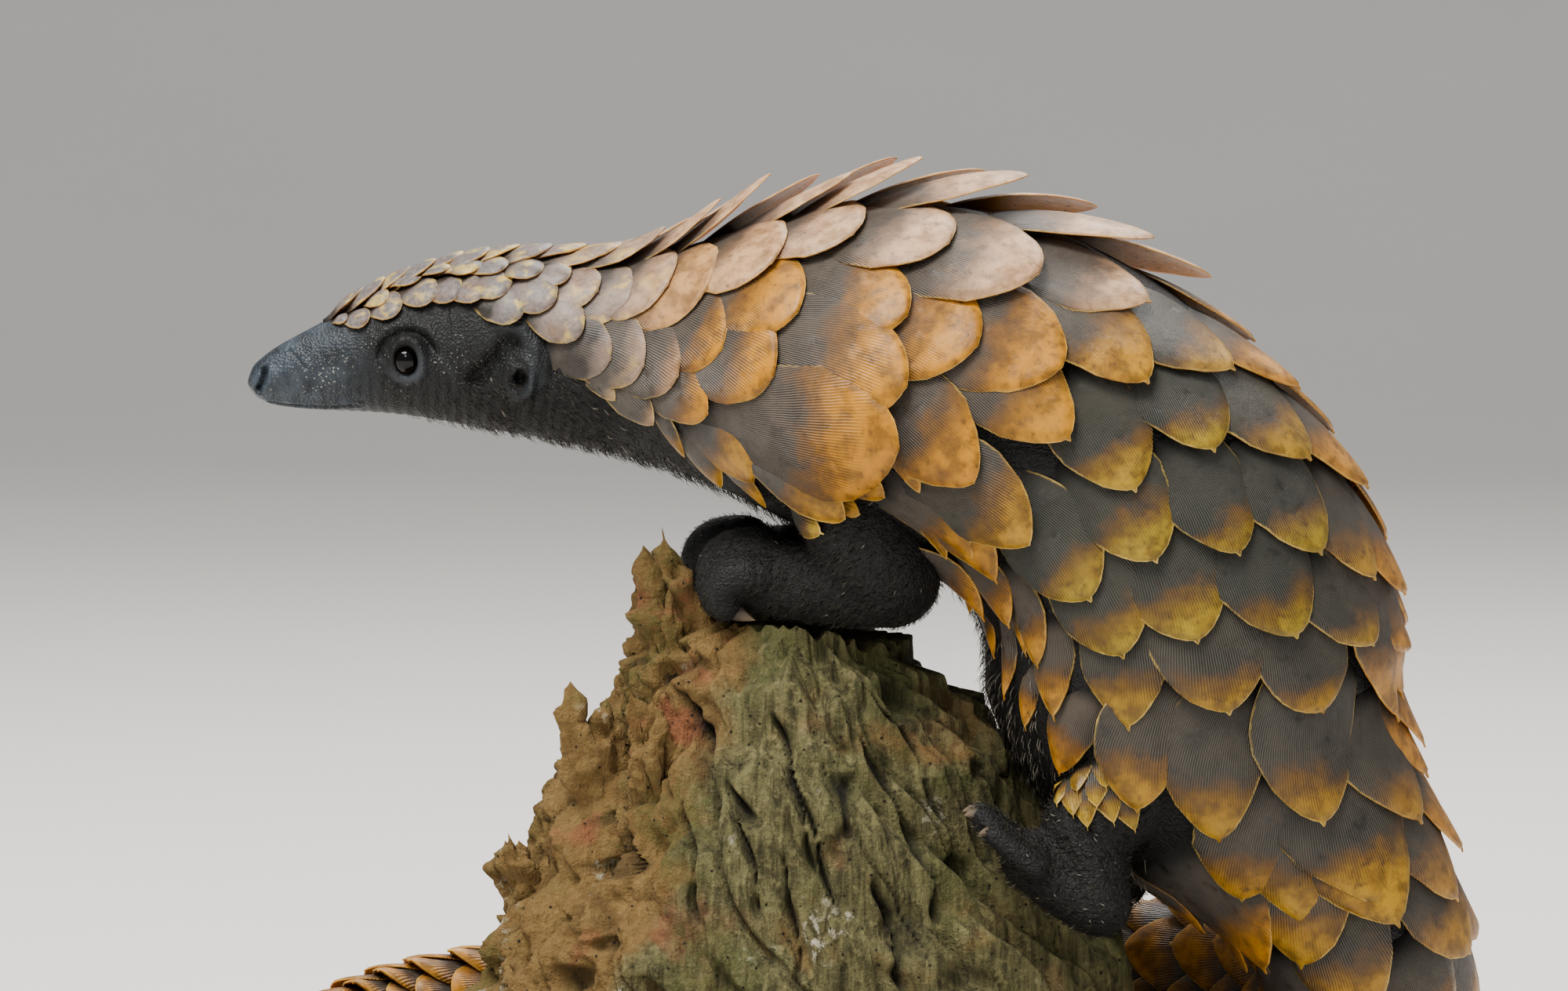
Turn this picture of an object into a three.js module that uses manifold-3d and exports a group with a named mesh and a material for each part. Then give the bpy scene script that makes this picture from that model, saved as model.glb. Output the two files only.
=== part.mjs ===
// A black-bellied pangolin clinging to a broken stump, life size, on a plain display stand.
// Millimetres with Z up. X runs from the nose to the rump and the animal's left side faces -Y.
import * as THREE from 'three';
import { mergeVertices } from 'three/addons/utils/BufferGeometryUtils.js';
import Module from 'manifold-3d';

const wasm = await Module();
wasm.setup();

const GAP = 0.3; // clearance kept between two nodes that touch
const SLIVER = 0.05; // faces thinner than this are merged into their neighbours
const RAD = Math.PI / 180;

// Centre line of the body: X, Y, Z, then the half depths above and below it and the half width.
const BODY = [
  [-156.4, -7, 221.6, 3.2, 3.2, 3.0],
  [-150, -6.6, 222.4, 7.6, 6.8, 6.2],
  [-140, -6, 224.8, 10.2, 10.6, 8.8],
  [-128, -5, 227.6, 13.4, 13.4, 11.5],
  [-114, -4, 230.4, 17.6, 17.6, 14.5],
  [-98, -3, 231.8, 20.8, 21.6, 18.0],
  [-82, -2, 231.4, 22.0, 23.2, 20.0],
  [-66, -1, 229.8, 23.0, 25.0, 22.0],
  [-50, 0, 228.4, 27.0, 28.0, 28.0],
  [-34, 0, 227.8, 33.0, 33.0, 37.0],
  [-17, 0, 227, 38.5, 40.5, 45.0],
  [0, 0, 225.4, 43.0, 45.5, 49.0],
  [20, 0, 221.8, 46.5, 46.5, 50.5],
  [41, 0, 215, 46.5, 46.0, 51.0],
  [61, 0, 201.4, 46.5, 48.0, 51.5],
  [76.6, 0, 183.4, 48.0, 53.0, 52.0],
  [86, 0, 163.4, 49.0, 58.0, 52.5],
  [90, 0, 145.4, 47.5, 57.0, 51.5],
  [96, 0, 129.4, 43.0, 49.0, 47.5],
  [106, 0, 115.4, 36.0, 37.0, 41.0],
  [116, 0, 102.4, 30.0, 29.0, 36.0],
  [123.2, 0, 89.4, 27.0, 25.0, 34.0],
  // the tail goes down, passes behind the stump and comes round to its front
  [127, 7, 76, 25.5, 22, 33],
  [129, 24, 64, 24, 20, 31.5],
  [124, 50, 55, 22, 18, 30],
  [103, 79, 51, 20, 16.5, 28],
  [64, 97, 48, 18.5, 15, 26.5],
  [14, 103, 46, 17, 13.5, 25],
  [-38, 101, 45.5, 15.5, 12.5, 23.5],
  [-90, 88, 44.5, 14, 11.5, 21.5],
  [-130, 56, 42.5, 12.5, 10.5, 19.5],
  [-144, 10, 39.5, 11, 9, 17.5],
  [-131, -38, 36, 9.5, 8, 15],
  [-95, -73, 32, 8, 6.8, 12.5],
  [-47, -92, 28.5, 6.5, 5.5, 10],
  [5, -98, 26.5, 4.8, 4.2, 7.5],
  [46, -95, 25.5, 2.8, 2.6, 4.2],
];
const EGG = 0.14; // how far the trunk's widest level lies below its centre line
const SAMPLES = 24; // points of the centre line for each row above
const HEAD_END = 83;
const NECK_END = 119;
const TAIL_START = 345;

// Scales overlap like roof tiles: each rises from a root below the skin towards its free tip.
const SCALE_SINK = 1.4;
const SCALE_LENGTH = 1.72; // of the step between two scales of a row
const SCALE_WIDTH = 0.72; // half width, of the angle between rows
const SCALE_SPREAD = 0.08; // how much scales of a row differ in size
const TIP_BARE = 14; // end of the tail that no root stands on
const TIP_REACH = 4; // how far its last scales pass its end
const SCALE_STEPS = [
  // distance along the body, step between two scales of a row, degrees between rows,
  // angle of the outermost row, rise of a scale for each mm along the body
  [34, 9.5, 25, 14, 0.3],
  [56, 10, 26, 42, 0.3],
  [80, 12, 29, 70, 0.28],
  [100, 15, 29, 98, 0.26],
  [125, 19, 26, 110, 0.25],
  [150, 22, 25, 126, 0.23],
  [250, 22.5, 25, 126, 0.23],
  [330, 25, 26, 110, 0.22],
  [370, 35, 46, 100, 0.2],
  [650, 46, 50, 102, 0.19],
  [980, 40, 55, 112, 0.17],
];

const Z_AXIS = new THREE.Vector3(0, 0, 1);
const V = (x, y, z) => new THREE.Vector3(x, y, z);
const mix = (a, b, t) => a + (b - a) * t;
const clamp = (x, a, b) => Math.min(b, Math.max(a, x));
const smooth = (x) => x * x * (3 - 2 * x);

function random(seed) {
  let s = seed >>> 0;
  return () => {
    s = (Math.imul(s, 1664525) + 1013904223) >>> 0;
    return s / 4294967296;
  };
}

// value of a table [x, a, b, ...] at x, with straight lines between its rows
function lookUp(table, x) {
  let i = 0;
  while (i < table.length - 2 && table[i + 1][0] < x) i += 1;
  const [p, q] = [table[i], table[i + 1]];
  const t = clamp((x - p[0]) / (q[0] - p[0]), 0, 1);
  return p.slice(1).map((a, k) => mix(a, q[k + 1], t));
}

// uniform cubic B-spline through padded control rows
function spline(rows, t) {
  const n = rows.length;
  const pad = (a, b) => a.map((x, k) => 2 * x - b[k]);
  const at = (i) => {
    if (i < 0) return pad(rows[0], rows[1]);
    if (i >= n) return pad(rows[n - 1], rows[n - 2]);
    return rows[i];
  };
  const i = Math.min(Math.floor(t), n - 2);
  const f = t - i;
  const w = [
    (1 - f) ** 3 / 6,
    (3 * f ** 3 - 6 * f ** 2 + 4) / 6,
    (-3 * f ** 3 + 3 * f ** 2 + 3 * f + 1) / 6,
    f ** 3 / 6,
  ];
  return rows[0].map((_, k) => w.reduce((s, x, j) => s + x * at(i - 1 + j)[k], 0));
}

// centre line as samples with a dorsal direction that doesn't twist
function makeLine(rows) {
  const line = [];
  const count = (rows.length - 1) * SAMPLES;
  for (let i = 0; i <= count; i += 1) {
    const s = spline(rows, Math.min(i / SAMPLES, rows.length - 1 - 1e-9));
    line.push({ p: V(s[0], s[1], s[2]), r: s.slice(3), v: 0 });
  }
  line.forEach((a, i) => {
    const next = line[Math.min(i + 1, count)].p;
    const back = line[Math.max(i - 1, 0)].p;
    a.t = next.clone().sub(back).normalize();
    if (i > 0) a.v = line[i - 1].v + a.p.distanceTo(back);
  });
  let up = Z_AXIS.clone();
  line.forEach((a) => {
    up = up.clone().addScaledVector(a.t, -up.dot(a.t)).normalize();
    a.n = up.clone();
  });
  return line;
}

const LINE = makeLine(BODY);
const LENGTH = LINE[LINE.length - 1].v;

function frameAt(v) {
  let lo = 0;
  let hi = LINE.length - 1;
  while (hi - lo > 1) {
    const mid = (lo + hi) >> 1;
    if (LINE[mid].v <= v) lo = mid;
    else hi = mid;
  }
  const [a, b] = [LINE[lo], LINE[hi]];
  const f = (v - a.v) / (b.v - a.v);
  const t = a.t.clone().lerp(b.t, f).normalize();
  const n = a.n.clone().lerp(b.n, f);
  n.addScaledVector(t, -n.dot(t)).normalize();
  return {
    p: a.p.clone().lerp(b.p, f), r: a.r.map((x, k) => mix(x, b.r[k], f)), t, n, b: t.clone().cross(n),
  };
}

// point h above the skin, v along the body and phi round it, 0 on the back and 90 on the left side
function skin(v, phi, h = 0) {
  const f = frameAt(v);
  const [c, s] = [Math.cos(phi * RAD), Math.sin(phi * RAD)];
  const a = c > 0 ? f.r[0] : f.r[1];
  const w = f.r[2];
  const egg = EGG * clamp((w - 20) / 25, 0, 1);
  const n = new THREE.Vector2(c / a, s / w).normalize();
  return f.p.clone()
    .addScaledVector(f.n, a * c + h * n.x)
    .addScaledVector(f.b, w * s * (1 - egg * c) + h * n.y);
}

// closed mesh from rings of equal count, its ends closed by fans round a point
function loft(rings, tips) {
  const n = rings[0].length;
  const pos = rings.flat().concat(tips);
  const [first, last] = [rings.length * n, rings.length * n + 1];
  const index = [];
  for (let i = 0; i < rings.length - 1; i += 1) {
    for (let j = 0; j < n; j += 1) {
      const k = (j + 1) % n;
      const [a, b, c, d] = [i * n + j, i * n + k, (i + 1) * n + k, (i + 1) * n + j];
      index.push(a, b, c, a, c, d);
    }
  }
  for (let j = 0; j < n; j += 1) {
    const k = (j + 1) % n;
    index.push(first, k, j);
    index.push(last, (rings.length - 1) * n + j, (rings.length - 1) * n + k);
  }
  return solid(pos, index);
}

// manifold solid from points and triangles, turned outside in where it was inside out
function solid(points, index) {
  const geo = new THREE.BufferGeometry();
  geo.setAttribute('position', new THREE.Float32BufferAttribute(points.flatMap((p) => p.toArray()), 3));
  geo.setIndex(index);
  return fromGeometry(geo);
}

function fromGeometry(source) {
  let geo = source.clone();
  geo.deleteAttribute('normal');
  geo.deleteAttribute('uv');
  geo = mergeVertices(geo, 1e-4);
  const pos = geo.attributes.position;
  const idx = Array.from(geo.index.array);
  const [a, b, c] = [V(), V(), V()];
  let volume = 0;
  for (let i = 0; i < idx.length; i += 3) {
    a.fromBufferAttribute(pos, idx[i]);
    b.fromBufferAttribute(pos, idx[i + 1]);
    c.fromBufferAttribute(pos, idx[i + 2]);
    volume += a.dot(b.cross(c));
  }
  if (volume < 0) {
    for (let i = 0; i < idx.length; i += 3) [idx[i], idx[i + 1]] = [idx[i + 1], idx[i]];
  }
  const mesh = new wasm.Mesh({
    numProp: 3, vertProperties: Float32Array.from(pos.array), triVerts: Uint32Array.from(idx),
  });
  return new wasm.Manifold(mesh);
}

const union = (parts) => parts.reduce((a, b) => a.add(b));

function largest(body) {
  const parts = body.decompose();
  return parts.reduce((a, b) => (a.volume() > b.volume() ? a : b));
}

// length of the body between two distances along it, h fatter or thinner than the skin
function bodyLength(v0, v1, h, count, sides) {
  const rings = [];
  for (let i = 0; i <= count; i += 1) {
    const v = mix(v0, v1, i / count);
    const ring = [];
    for (let j = 0; j < sides; j += 1) ring.push(skin(v, (360 * (j + 0.5)) / sides, h));
    rings.push(ring);
  }
  return loft(rings, [frameAt(v0).p, frameAt(v1).p]);
}

// tube through rows [x, y, z, radius], with rounded ends
function limb(rows, grow = 0, sides = 10, per = 3) {
  const pts = [];
  const count = (rows.length - 1) * per;
  for (let i = 0; i <= count; i += 1) pts.push(spline(rows, Math.min(i / per, rows.length - 1 - 1e-9)));
  const rings = [];
  const ends = [];
  let up = V(0.31, 0.87, 0.38);
  pts.forEach((p, i) => {
    const a = pts[Math.max(i - 1, 0)];
    const b = pts[Math.min(i + 1, count)];
    const t = V(b[0] - a[0], b[1] - a[1], b[2] - a[2]).normalize();
    up = up.clone().addScaledVector(t, -up.dot(t)).normalize();
    const side = t.clone().cross(up);
    const ring = (r, along) => {
      const out = [];
      for (let j = 0; j < sides; j += 1) {
        const w = (2 * Math.PI * j) / sides;
        out.push(V(p[0], p[1], p[2]).addScaledVector(t, along)
          .addScaledVector(up, r * Math.cos(w)).addScaledVector(side, r * Math.sin(w)));
      }
      return out;
    };
    const r = p[3] + grow;
    if (i === 0) {
      ends.push(V(p[0], p[1], p[2]).addScaledVector(t, -r));
      rings.push(ring(r * 0.72, -r * 0.69));
    }
    rings.push(ring(r, 0));
    if (i === count) {
      rings.push(ring(r * 0.72, r * 0.69));
      ends.push(V(p[0], p[1], p[2]).addScaledVector(t, r));
    }
  });
  return loft(rings, ends);
}

// taper through rows [x, y, z, radius] with a flat foot and a sharp tip at the last row
function spike(rows, grow = 0, sides = 4) {
  const at = ([x, y, z]) => V(x, y, z);
  const rings = rows.slice(0, -1).map((p, i) => {
    const t = at(rows[i + 1]).sub(at(rows[Math.max(i - 1, 0)])).normalize();
    const up = V(0.31, 0.87, 0.38).addScaledVector(t, -V(0.31, 0.87, 0.38).dot(t)).normalize();
    const across = t.clone().cross(up);
    return Array.from({ length: sides }, (_, j) => {
      const w = (2 * Math.PI * j) / sides;
      const r = p[3] + grow;
      return at(p).addScaledVector(up, r * Math.cos(w)).addScaledVector(across, r * Math.sin(w));
    });
  });
  const last = at(rows[rows.length - 1]);
  const end = last.clone().addScaledVector(last.clone().sub(at(rows[rows.length - 2])).normalize(), grow);
  return loft(rings, [at(rows[0]), end]);
}

function ellipsoid(centre, radii, sides = 12, turn = null) {
  const geo = new THREE.SphereGeometry(1, sides, Math.max(6, Math.round(sides * 0.6)));
  geo.scale(...radii);
  if (turn) geo.applyQuaternion(turn);
  geo.translate(...centre);
  return fromGeometry(geo);
}

// one scale: root at v and phi, its length along the body and its half width in degrees
function scale({ v, phi, length, half, lift, thick, sink }, grow = 0) {
  return plate((u, w, side) => {
    const h = -sink + u * length * lift + (side ? thick + grow : -grow);
    const along = v + u * length + (u - 0.4) * 3 * grow;
    return skin(along, phi + w * (half + 2 * grow), h);
  });
}

// closed plate from point(u, w, side): u from root to tip, w across, side 0 below and 1 above
function plate(point) {
  const outline = [[0, 0], [0.4, -1], [0.8, -0.72], [1, 0], [0.8, 0.72], [0.4, 1]];
  const n = outline.length;
  const points = [0, 1].flatMap((side) => [...outline, [0.5, 0]].map(([u, w]) => point(u, w, side)));
  const index = [];
  for (let i = 0; i < n; i += 1) {
    const j = (i + 1) % n;
    index.push(i, n, j, n + 1 + i, n + 1 + j, 2 * n + 1);
    index.push(i, j, n + 1 + j, i, n + 1 + j, n + 1 + i);
  }
  return solid(points, index);
}

// roots of all scales, row by row, each second row shifted by half a step
function scaleRoots() {
  const roots = [];
  const draw = random(7);
  let v = SCALE_STEPS[0][0];
  let k = 0;
  while (v < LENGTH - TIP_BARE) {
    const [step, turn, reach, lift] = lookUp(SCALE_STEPS, v);
    const thick = clamp(0.045 * step, 0.5, 1);
    const sink = Math.min(SCALE_SINK, 0.32 * step * lift);
    const first = k % 2;
    for (let j = first; j * turn <= reach + 1; j += 2) {
      for (const side of j === 0 ? [1] : [1, -1]) {
        const size = 1 + SCALE_SPREAD * (draw() - 0.5);
        const length = Math.min(SCALE_LENGTH * step * size, LENGTH + TIP_REACH - v);
        roots.push({ v, phi: side * j * turn, length, half: SCALE_WIDTH * turn * size, lift, thick, sink });
      }
    }
    v += step / 2;
    k += 1;
  }
  return roots;
}
const ROOTS = scaleRoots();

// cuts of the body into lengths, each moved to just before a ring of scales
function cutNear(v) {
  const below = ROOTS.filter((r) => r.v > v - 16);
  const near = below.reduce((a, b) => (Math.abs(a.v - v) < Math.abs(b.v - v) ? a : b));
  return near.v - 0.45;
}
const TAIL_CUTS = [TAIL_START, 430, 490, 570, 655, 740, 815, 895, LENGTH];
const PARTS = [
  ['head', 0, HEAD_END],
  ['neck', HEAD_END, NECK_END],
  ['torso_front', NECK_END, 190],
  ['torso_middle', 190, 268],
  ['torso_rear', 268, TAIL_START],
  ...TAIL_CUTS.slice(0, -1).map((v, i) => [`tail_${i + 1}`, v, TAIL_CUTS[i + 1]]),
].map(([name, a, b]) => [name, a > 0 ? cutNear(a) : 0, b < LENGTH ? cutNear(b) : LENGTH]);

const COLOURS = {
  skin: [0x2b2826, 0.7],
  scale: [0x8a6a3c, 0.45],
  fur: [0x171513, 0.85],
  eye: [0x0c0a0a, 0.08],
  wood: [0x6d5a3c, 0.9],
  stand: [0x2f2f31, 0.5],
};
const MATERIALS = {};
for (const [name, [colour, roughness]] of Object.entries(COLOURS)) {
  MATERIALS[name] = new THREE.MeshStandardMaterial({ color: colour, roughness, metalness: 0 });
  MATERIALS[name].name = name;
}

const group = new THREE.Group();
group.name = 'pangolin';

function addNode(name, body, material) {
  const m = largest(body).asOriginal().simplify(SLIVER).getMesh();
  const geo = new THREE.BufferGeometry();
  geo.setAttribute('position', new THREE.BufferAttribute(Float32Array.from(m.vertProperties), 3));
  geo.setIndex(Array.from(m.triVerts));
  const flat = geo.toNonIndexed();
  flat.computeVertexNormals();
  const mesh = new THREE.Mesh(flat, MATERIALS[material]);
  mesh.name = name;
  group.add(mesh);
}

// head: lids, eyes, ears, nostrils and the line of the mouth
const EYE_V = 41.5;
const EYE_PHI = 96;
const EYE_R = 3.4;
const EAR_V = 71;
const EAR_PHI = 108;
const EAR_SIZE = [6.4, 4.2, 8.2];

function lookOut(v, phi) {
  const out = skin(v, phi, 1).sub(skin(v, phi, 0)).normalize();
  return new THREE.Quaternion().setFromUnitVectors(V(0, 1, 0), out);
}

function eye(side, grow = 0) {
  const c = skin(EYE_V, side * EYE_PHI, -1.4);
  return ellipsoid(c.toArray(), [EYE_R + grow, EYE_R + grow, EYE_R + grow], 10);
}

function lid(side) {
  const geo = new THREE.TorusGeometry(4.4, 1.5, 5, 10);
  geo.rotateX(Math.PI / 2);
  geo.scale(1.1, 1, 0.92);
  geo.applyQuaternion(lookOut(EYE_V, side * EYE_PHI));
  geo.translate(...skin(EYE_V, side * EYE_PHI, 0.3).toArray());
  return fromGeometry(geo);
}

function ear(side, grow = 0) {
  const turn = lookOut(EAR_V, side * EAR_PHI);
  const c = skin(EAR_V, side * EAR_PHI, 0.2);
  const outer = ellipsoid(c.toArray(), EAR_SIZE.map((r) => r + grow), 10, turn);
  if (grow > 0) return outer;
  const deep = skin(EAR_V + 0.8, side * EAR_PHI, 3.4);
  return outer.subtract(ellipsoid(deep.toArray(), [4.2, 5.4, 5.6], 8, turn));
}

function nostril(side) {
  return limb([
    skin(5, side * 56, 0.2).toArray().concat(0.9),
    skin(4.6, side * 79, 0.1).toArray().concat(1.2),
    skin(2.7, side * 112, 0.2).toArray().concat(0.7),
  ], 0, 5, 1);
}

function mouth(side) {
  const rows = [];
  for (let i = 0; i <= 3; i += 1) {
    rows.push(skin(mix(5, 26, i / 3), side * mix(160, 146, i / 3), -0.1).toArray().concat(0.8));
  }
  return limb(rows, 0, 4, 1);
}

function makeHead(v0, v1) {
  let head = bodyLength(v0, v1 - GAP / 2, 0, 10, 14);
  for (const side of [1, -1]) {
    head = head.add(lid(side));
    head = head.subtract(union([eye(side, GAP), ear(side, GAP), nostril(side), mouth(side)]));
  }
  return largest(head);
}

// plates of one length of the body
function platesOf(v0, v1, grow = 0) {
  const own = ROOTS.filter((r) => r.v >= v0 && r.v < v1);
  return own.map((r) => scale(r, grow));
}

// Legs as rows [x, y, z, radius]; y is measured outwards from the middle plane.
const LEGS = {
  foreleg: {
    shift: [-6, 4, 1],
    upper: [[-12, 26, 212, 17], [-8, 31, 198, 16.5], [0, 31, 184, 14], [8, 28, 173, 11.5]],
    lower: [
      [13, 27, 171.5, 10.6], [1, 26, 171, 10.6], [-12, 21, 171.5, 10], [-25, 17, 172, 9.4],
      [-33, 16, 170.5, 7],
    ],
    foot: null,
    toes: [[-32, 8.4, 169.5, 2.7], [-35, 13.4, 170, 2.9], [-35.5, 18.6, 170, 2.9], [-33, 23.8, 169.5, 2.7]],
    reach: [-8, 0, -4],
    claw: [-3.5, 0, -7],
  },
  hindleg: {
    shift: [2, 0, -3],
    upper: [[84, 30, 132, 20], [72, 35, 125, 18.5], [60, 39, 117, 14.5], [56, 41, 108, 11.5]],
    lower: [[56, 41, 108, 11], [62, 42, 99, 10.4], [65, 42, 90, 9]],
    foot: [[66, 42.5, 88, 8.8], [55, 43, 95, 8.4], [46, 43.5, 103, 6.8]],
    toes: [[45, 36, 104, 2.6], [43, 41, 106, 2.8], [43.5, 46, 106, 2.8], [46, 51, 103.5, 2.6]],
    reach: [-6, -0.6, 5],
    claw: [-4, -1.8, 5.4],
  },
};
const LEG_SIDES = 8;
const CLAW_R = 1.9;
// Scales of the upper legs: place along the leg, turn round it from its outer side, heading, size
const LEG_SCALES = {
  foreleg: [
    [0.34, 30, -48, 24, 9], [0.42, -22, -48, 24, 9], [0.56, 20, -44, 22, 8.5], [0.68, -24, -38, 20, 8],
    [0.76, 24, -38, 18, 7],
  ],
  hindleg: [
    [0.34, -34, -8, 22, 8], [0.4, 8, -8, 22, 8], [0.52, -20, -4, 20, 7], [0.56, 28, -4, 19, 6.5],
    [0.7, -6, 0, 17, 6.5],
  ],
};
const LEG_SCALE = { thick: 0.8, sink: 1.6, lift: 0.26, curve: 0.03 };

// rows of a leg on one side, the right one moved by the pose's shift
function legRows(rows, side, shift) {
  const [dx, dy, dz] = side > 0 ? [0, 0, 0] : shift;
  return rows.map(([x, y, z, r]) => [x + dx, -side * (y + dy), z + dz, r]);
}

function legScale(rows, side, [t, turn, heading, length, half], grow) {
  const at = (q) => spline(rows, clamp(q, 0, 0.999) * (rows.length - 1));
  const [x, y, z, r] = at(t);
  const [ax, ay, az] = at(t - 0.05);
  const axis = V(x - ax, y - ay, z - az).normalize();
  const out = V(0, -side, 0).addScaledVector(axis, side * axis.y).normalize();
  out.applyAxisAngle(axis, side * turn * RAD);
  const along = axis.clone().applyAxisAngle(out, side * heading * RAD);
  const across = along.clone().cross(out);
  const { thick, sink, lift, curve } = LEG_SCALE;
  return plate((u, w, top) => {
    const wide = w * (half + grow);
    const h = r - sink + u * length * lift - curve * wide ** 2 + (top ? thick + grow : -grow);
    return V(x, y, z).addScaledVector(along, u * length + (u - 0.4) * 2 * grow)
      .addScaledVector(across, wide).addScaledVector(out, h);
  });
}

function upperLeg(kind, side, grow = 0) {
  const rows = legRows(LEGS[kind].upper, side, LEGS[kind].shift);
  const body = limb(rows, grow, LEG_SIDES, 1);
  return body.add(union(LEG_SCALES[kind].map((q) => legScale(rows, side, q, grow))));
}

function lowerLeg(kind, side, grow = 0) {
  const leg = LEGS[kind];
  const rows = (list) => legRows(list, side, leg.shift);
  let body = limb(rows(leg.lower), grow, LEG_SIDES, 1);
  if (leg.foot) body = body.add(limb(rows(leg.foot), grow, LEG_SIDES, 1));
  leg.toes.forEach(([x, y, z, r], i) => {
    const knuckle = leg.reach.map((d, k) => [x, y, z][k] + d + (k === 1 ? (i - 1.5) * 0.5 : 0));
    const tip = knuckle.map((a, k) => a + leg.claw[k]);
    const bend = knuckle.map((a, k) => mix(a, tip[k], 0.55) - (k === 0 ? 0.9 : 0));
    const end = knuckle.map((a, k) => a + 0.15 * (a - [x, y, z][k]));
    const toe = spike(rows([[x, y, z, r], [...knuckle, r * 0.9], end]), grow, 5);
    const nail = spike(rows([[...knuckle, CLAW_R], [...bend, CLAW_R * 0.8], tip]), grow, 4);
    body = body.add(toe).add(nail);
  });
  return body;
}

// Perch: a short cut length of a broken stump, stepped where slabs of wood have torn off.
const STUMP_FOOT = 26;
const STUMP_SIDES = 24;
const STUMP_AXIS = [-14, 2];
// tiers from the foot up: half widths in X and Y at the foot and top of each, mean height and spread
const STUMP_TIERS = [
  { foot: [97, 71], top: [93, 68], height: 68, spread: 12 },
  { foot: [86, 63], top: [76, 57], height: 102, spread: 13 },
  { foot: [68, 52], top: [54, 43], height: 136, spread: 14 },
  { foot: [48, 38], top: [38, 30], height: 159, spread: 4 },
];
// tall splinters on the left of the break: foot, tip and radius at the foot
const SPLINTERS = [
  [[-46, -6, 132], [-53, -11, 186], 12],
  [[-50, 10, 128], [-58, 12, 178], 10],
  [[-62, -14, 104], [-72, -20, 148], 11],
  [[-82, 2, 74], [-97, 0, 112], 11],
  [[-44, 26, 128], [-50, 33, 166], 9],
];

function stumpBody() {
  const draw = random(9);
  const rings = [];
  STUMP_TIERS.forEach((tier, k) => {
    const slabTops = Array.from({ length: STUMP_SIDES }, () => tier.height + tier.spread * (2 * draw() - 1));
    const below = k > 0 ? STUMP_TIERS[k - 1].tops : null;
    tier.tops = Array.from({ length: STUMP_SIDES }, (_, j) => {
      const w = (2 * Math.PI * j) / STUMP_SIDES;
      return slabTops[(j + k) >> 1] + 3 * (draw() - 0.5) - 9 * Math.max(0, Math.cos(w));
    });
    const ring = (half, height) => tier.tops.map((_, j) => {
      const w = (2 * Math.PI * (j + 0.25 * (draw() - 0.5))) / STUMP_SIDES;
      const r = 1 + (j % 2 ? 0.035 : -0.035) + 0.03 * (draw() - 0.5);
      const [x, y] = [half[0] * r * Math.cos(w), half[1] * r * Math.sin(w)];
      return V(STUMP_AXIS[0] + x, STUMP_AXIS[1] + y, height(j));
    });
    rings.push(ring(tier.foot, (j) => (below ? below[j] + 3 : STUMP_FOOT)));
    rings.push(ring(tier.top, (j) => tier.tops[j]));
  });
  const crown = STUMP_TIERS[STUMP_TIERS.length - 1].height - 4;
  return loft(rings, [V(...STUMP_AXIS, STUMP_FOOT), V(...STUMP_AXIS, crown)]);
}

function splinter([foot, tip, r]) {
  const at = (t, k) => foot.map((a, i) => mix(a, tip[i], t)).concat(k * r);
  return spike([at(0, 1), at(0.5, 0.66), at(1, 0)], 0, 5);
}

// Stand: a flat base and two short rods up to the underside of the stump.
const BASE = { x: 0, y: 0, a: 160, b: 122, t: 6, bevel: 1.5, sides: 36, round: 0.62 };
const ROD = { r: 7, x: 44, y: 4, sides: 14 };

function makeBase() {
  const ring = (k, z) => Array.from({ length: BASE.sides }, (_, j) => {
    const w = (2 * Math.PI * j) / BASE.sides;
    const corner = (c) => Math.sign(c) * Math.abs(c) ** BASE.round;
    return V(BASE.x + (BASE.a - k) * corner(Math.cos(w)), BASE.y + (BASE.b - k) * corner(Math.sin(w)), z);
  });
  const { t, bevel } = BASE;
  const ends = [V(BASE.x, BASE.y, 0), V(BASE.x, BASE.y, t)];
  return loft([ring(0, 0), ring(0, t - bevel), ring(bevel, t)], ends);
}

function makeRod(side) {
  const ring = (z) => Array.from({ length: ROD.sides }, (_, j) => {
    const w = (2 * Math.PI * j) / ROD.sides;
    const [cx, cy] = [BASE.x + side * ROD.x, ROD.y];
    return V(cx + ROD.r * Math.cos(w), cy + ROD.r * Math.sin(w), z);
  });
  const [z0, z1] = [BASE.t + GAP, STUMP_FOOT - GAP];
  const mid = V(BASE.x + side * ROD.x, ROD.y, 0);
  return loft([ring(z0), ring(z1)], [mid.clone().setZ(z0), mid.clone().setZ(z1)]);
}

const SIDES = [[1, 'left'], [-1, 'right']];
const BELLY = [180, 345, 0.8, 15, 16]; // length of the body that the stump is cut clear of

// one length of the body, or the same length grown for what is cut clear of it
function core([name, v0, v1], grow = 0) {
  const cut = grow > 0 ? -SLIVER : GAP / 2;
  const [sides, step] = name.startsWith('tail') ? [12, 17] : [16, 13];
  const count = Math.round((v1 - v0) / step);
  return bodyLength(v0 + cut, v1 < LENGTH ? v1 - cut : v1, grow, count, sides);
}

const trunk = union(PARTS.slice(1, 6).flatMap((part) => [
  core(part, GAP + SLIVER),
  ...platesOf(part[1], part[2], GAP),
]));

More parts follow.
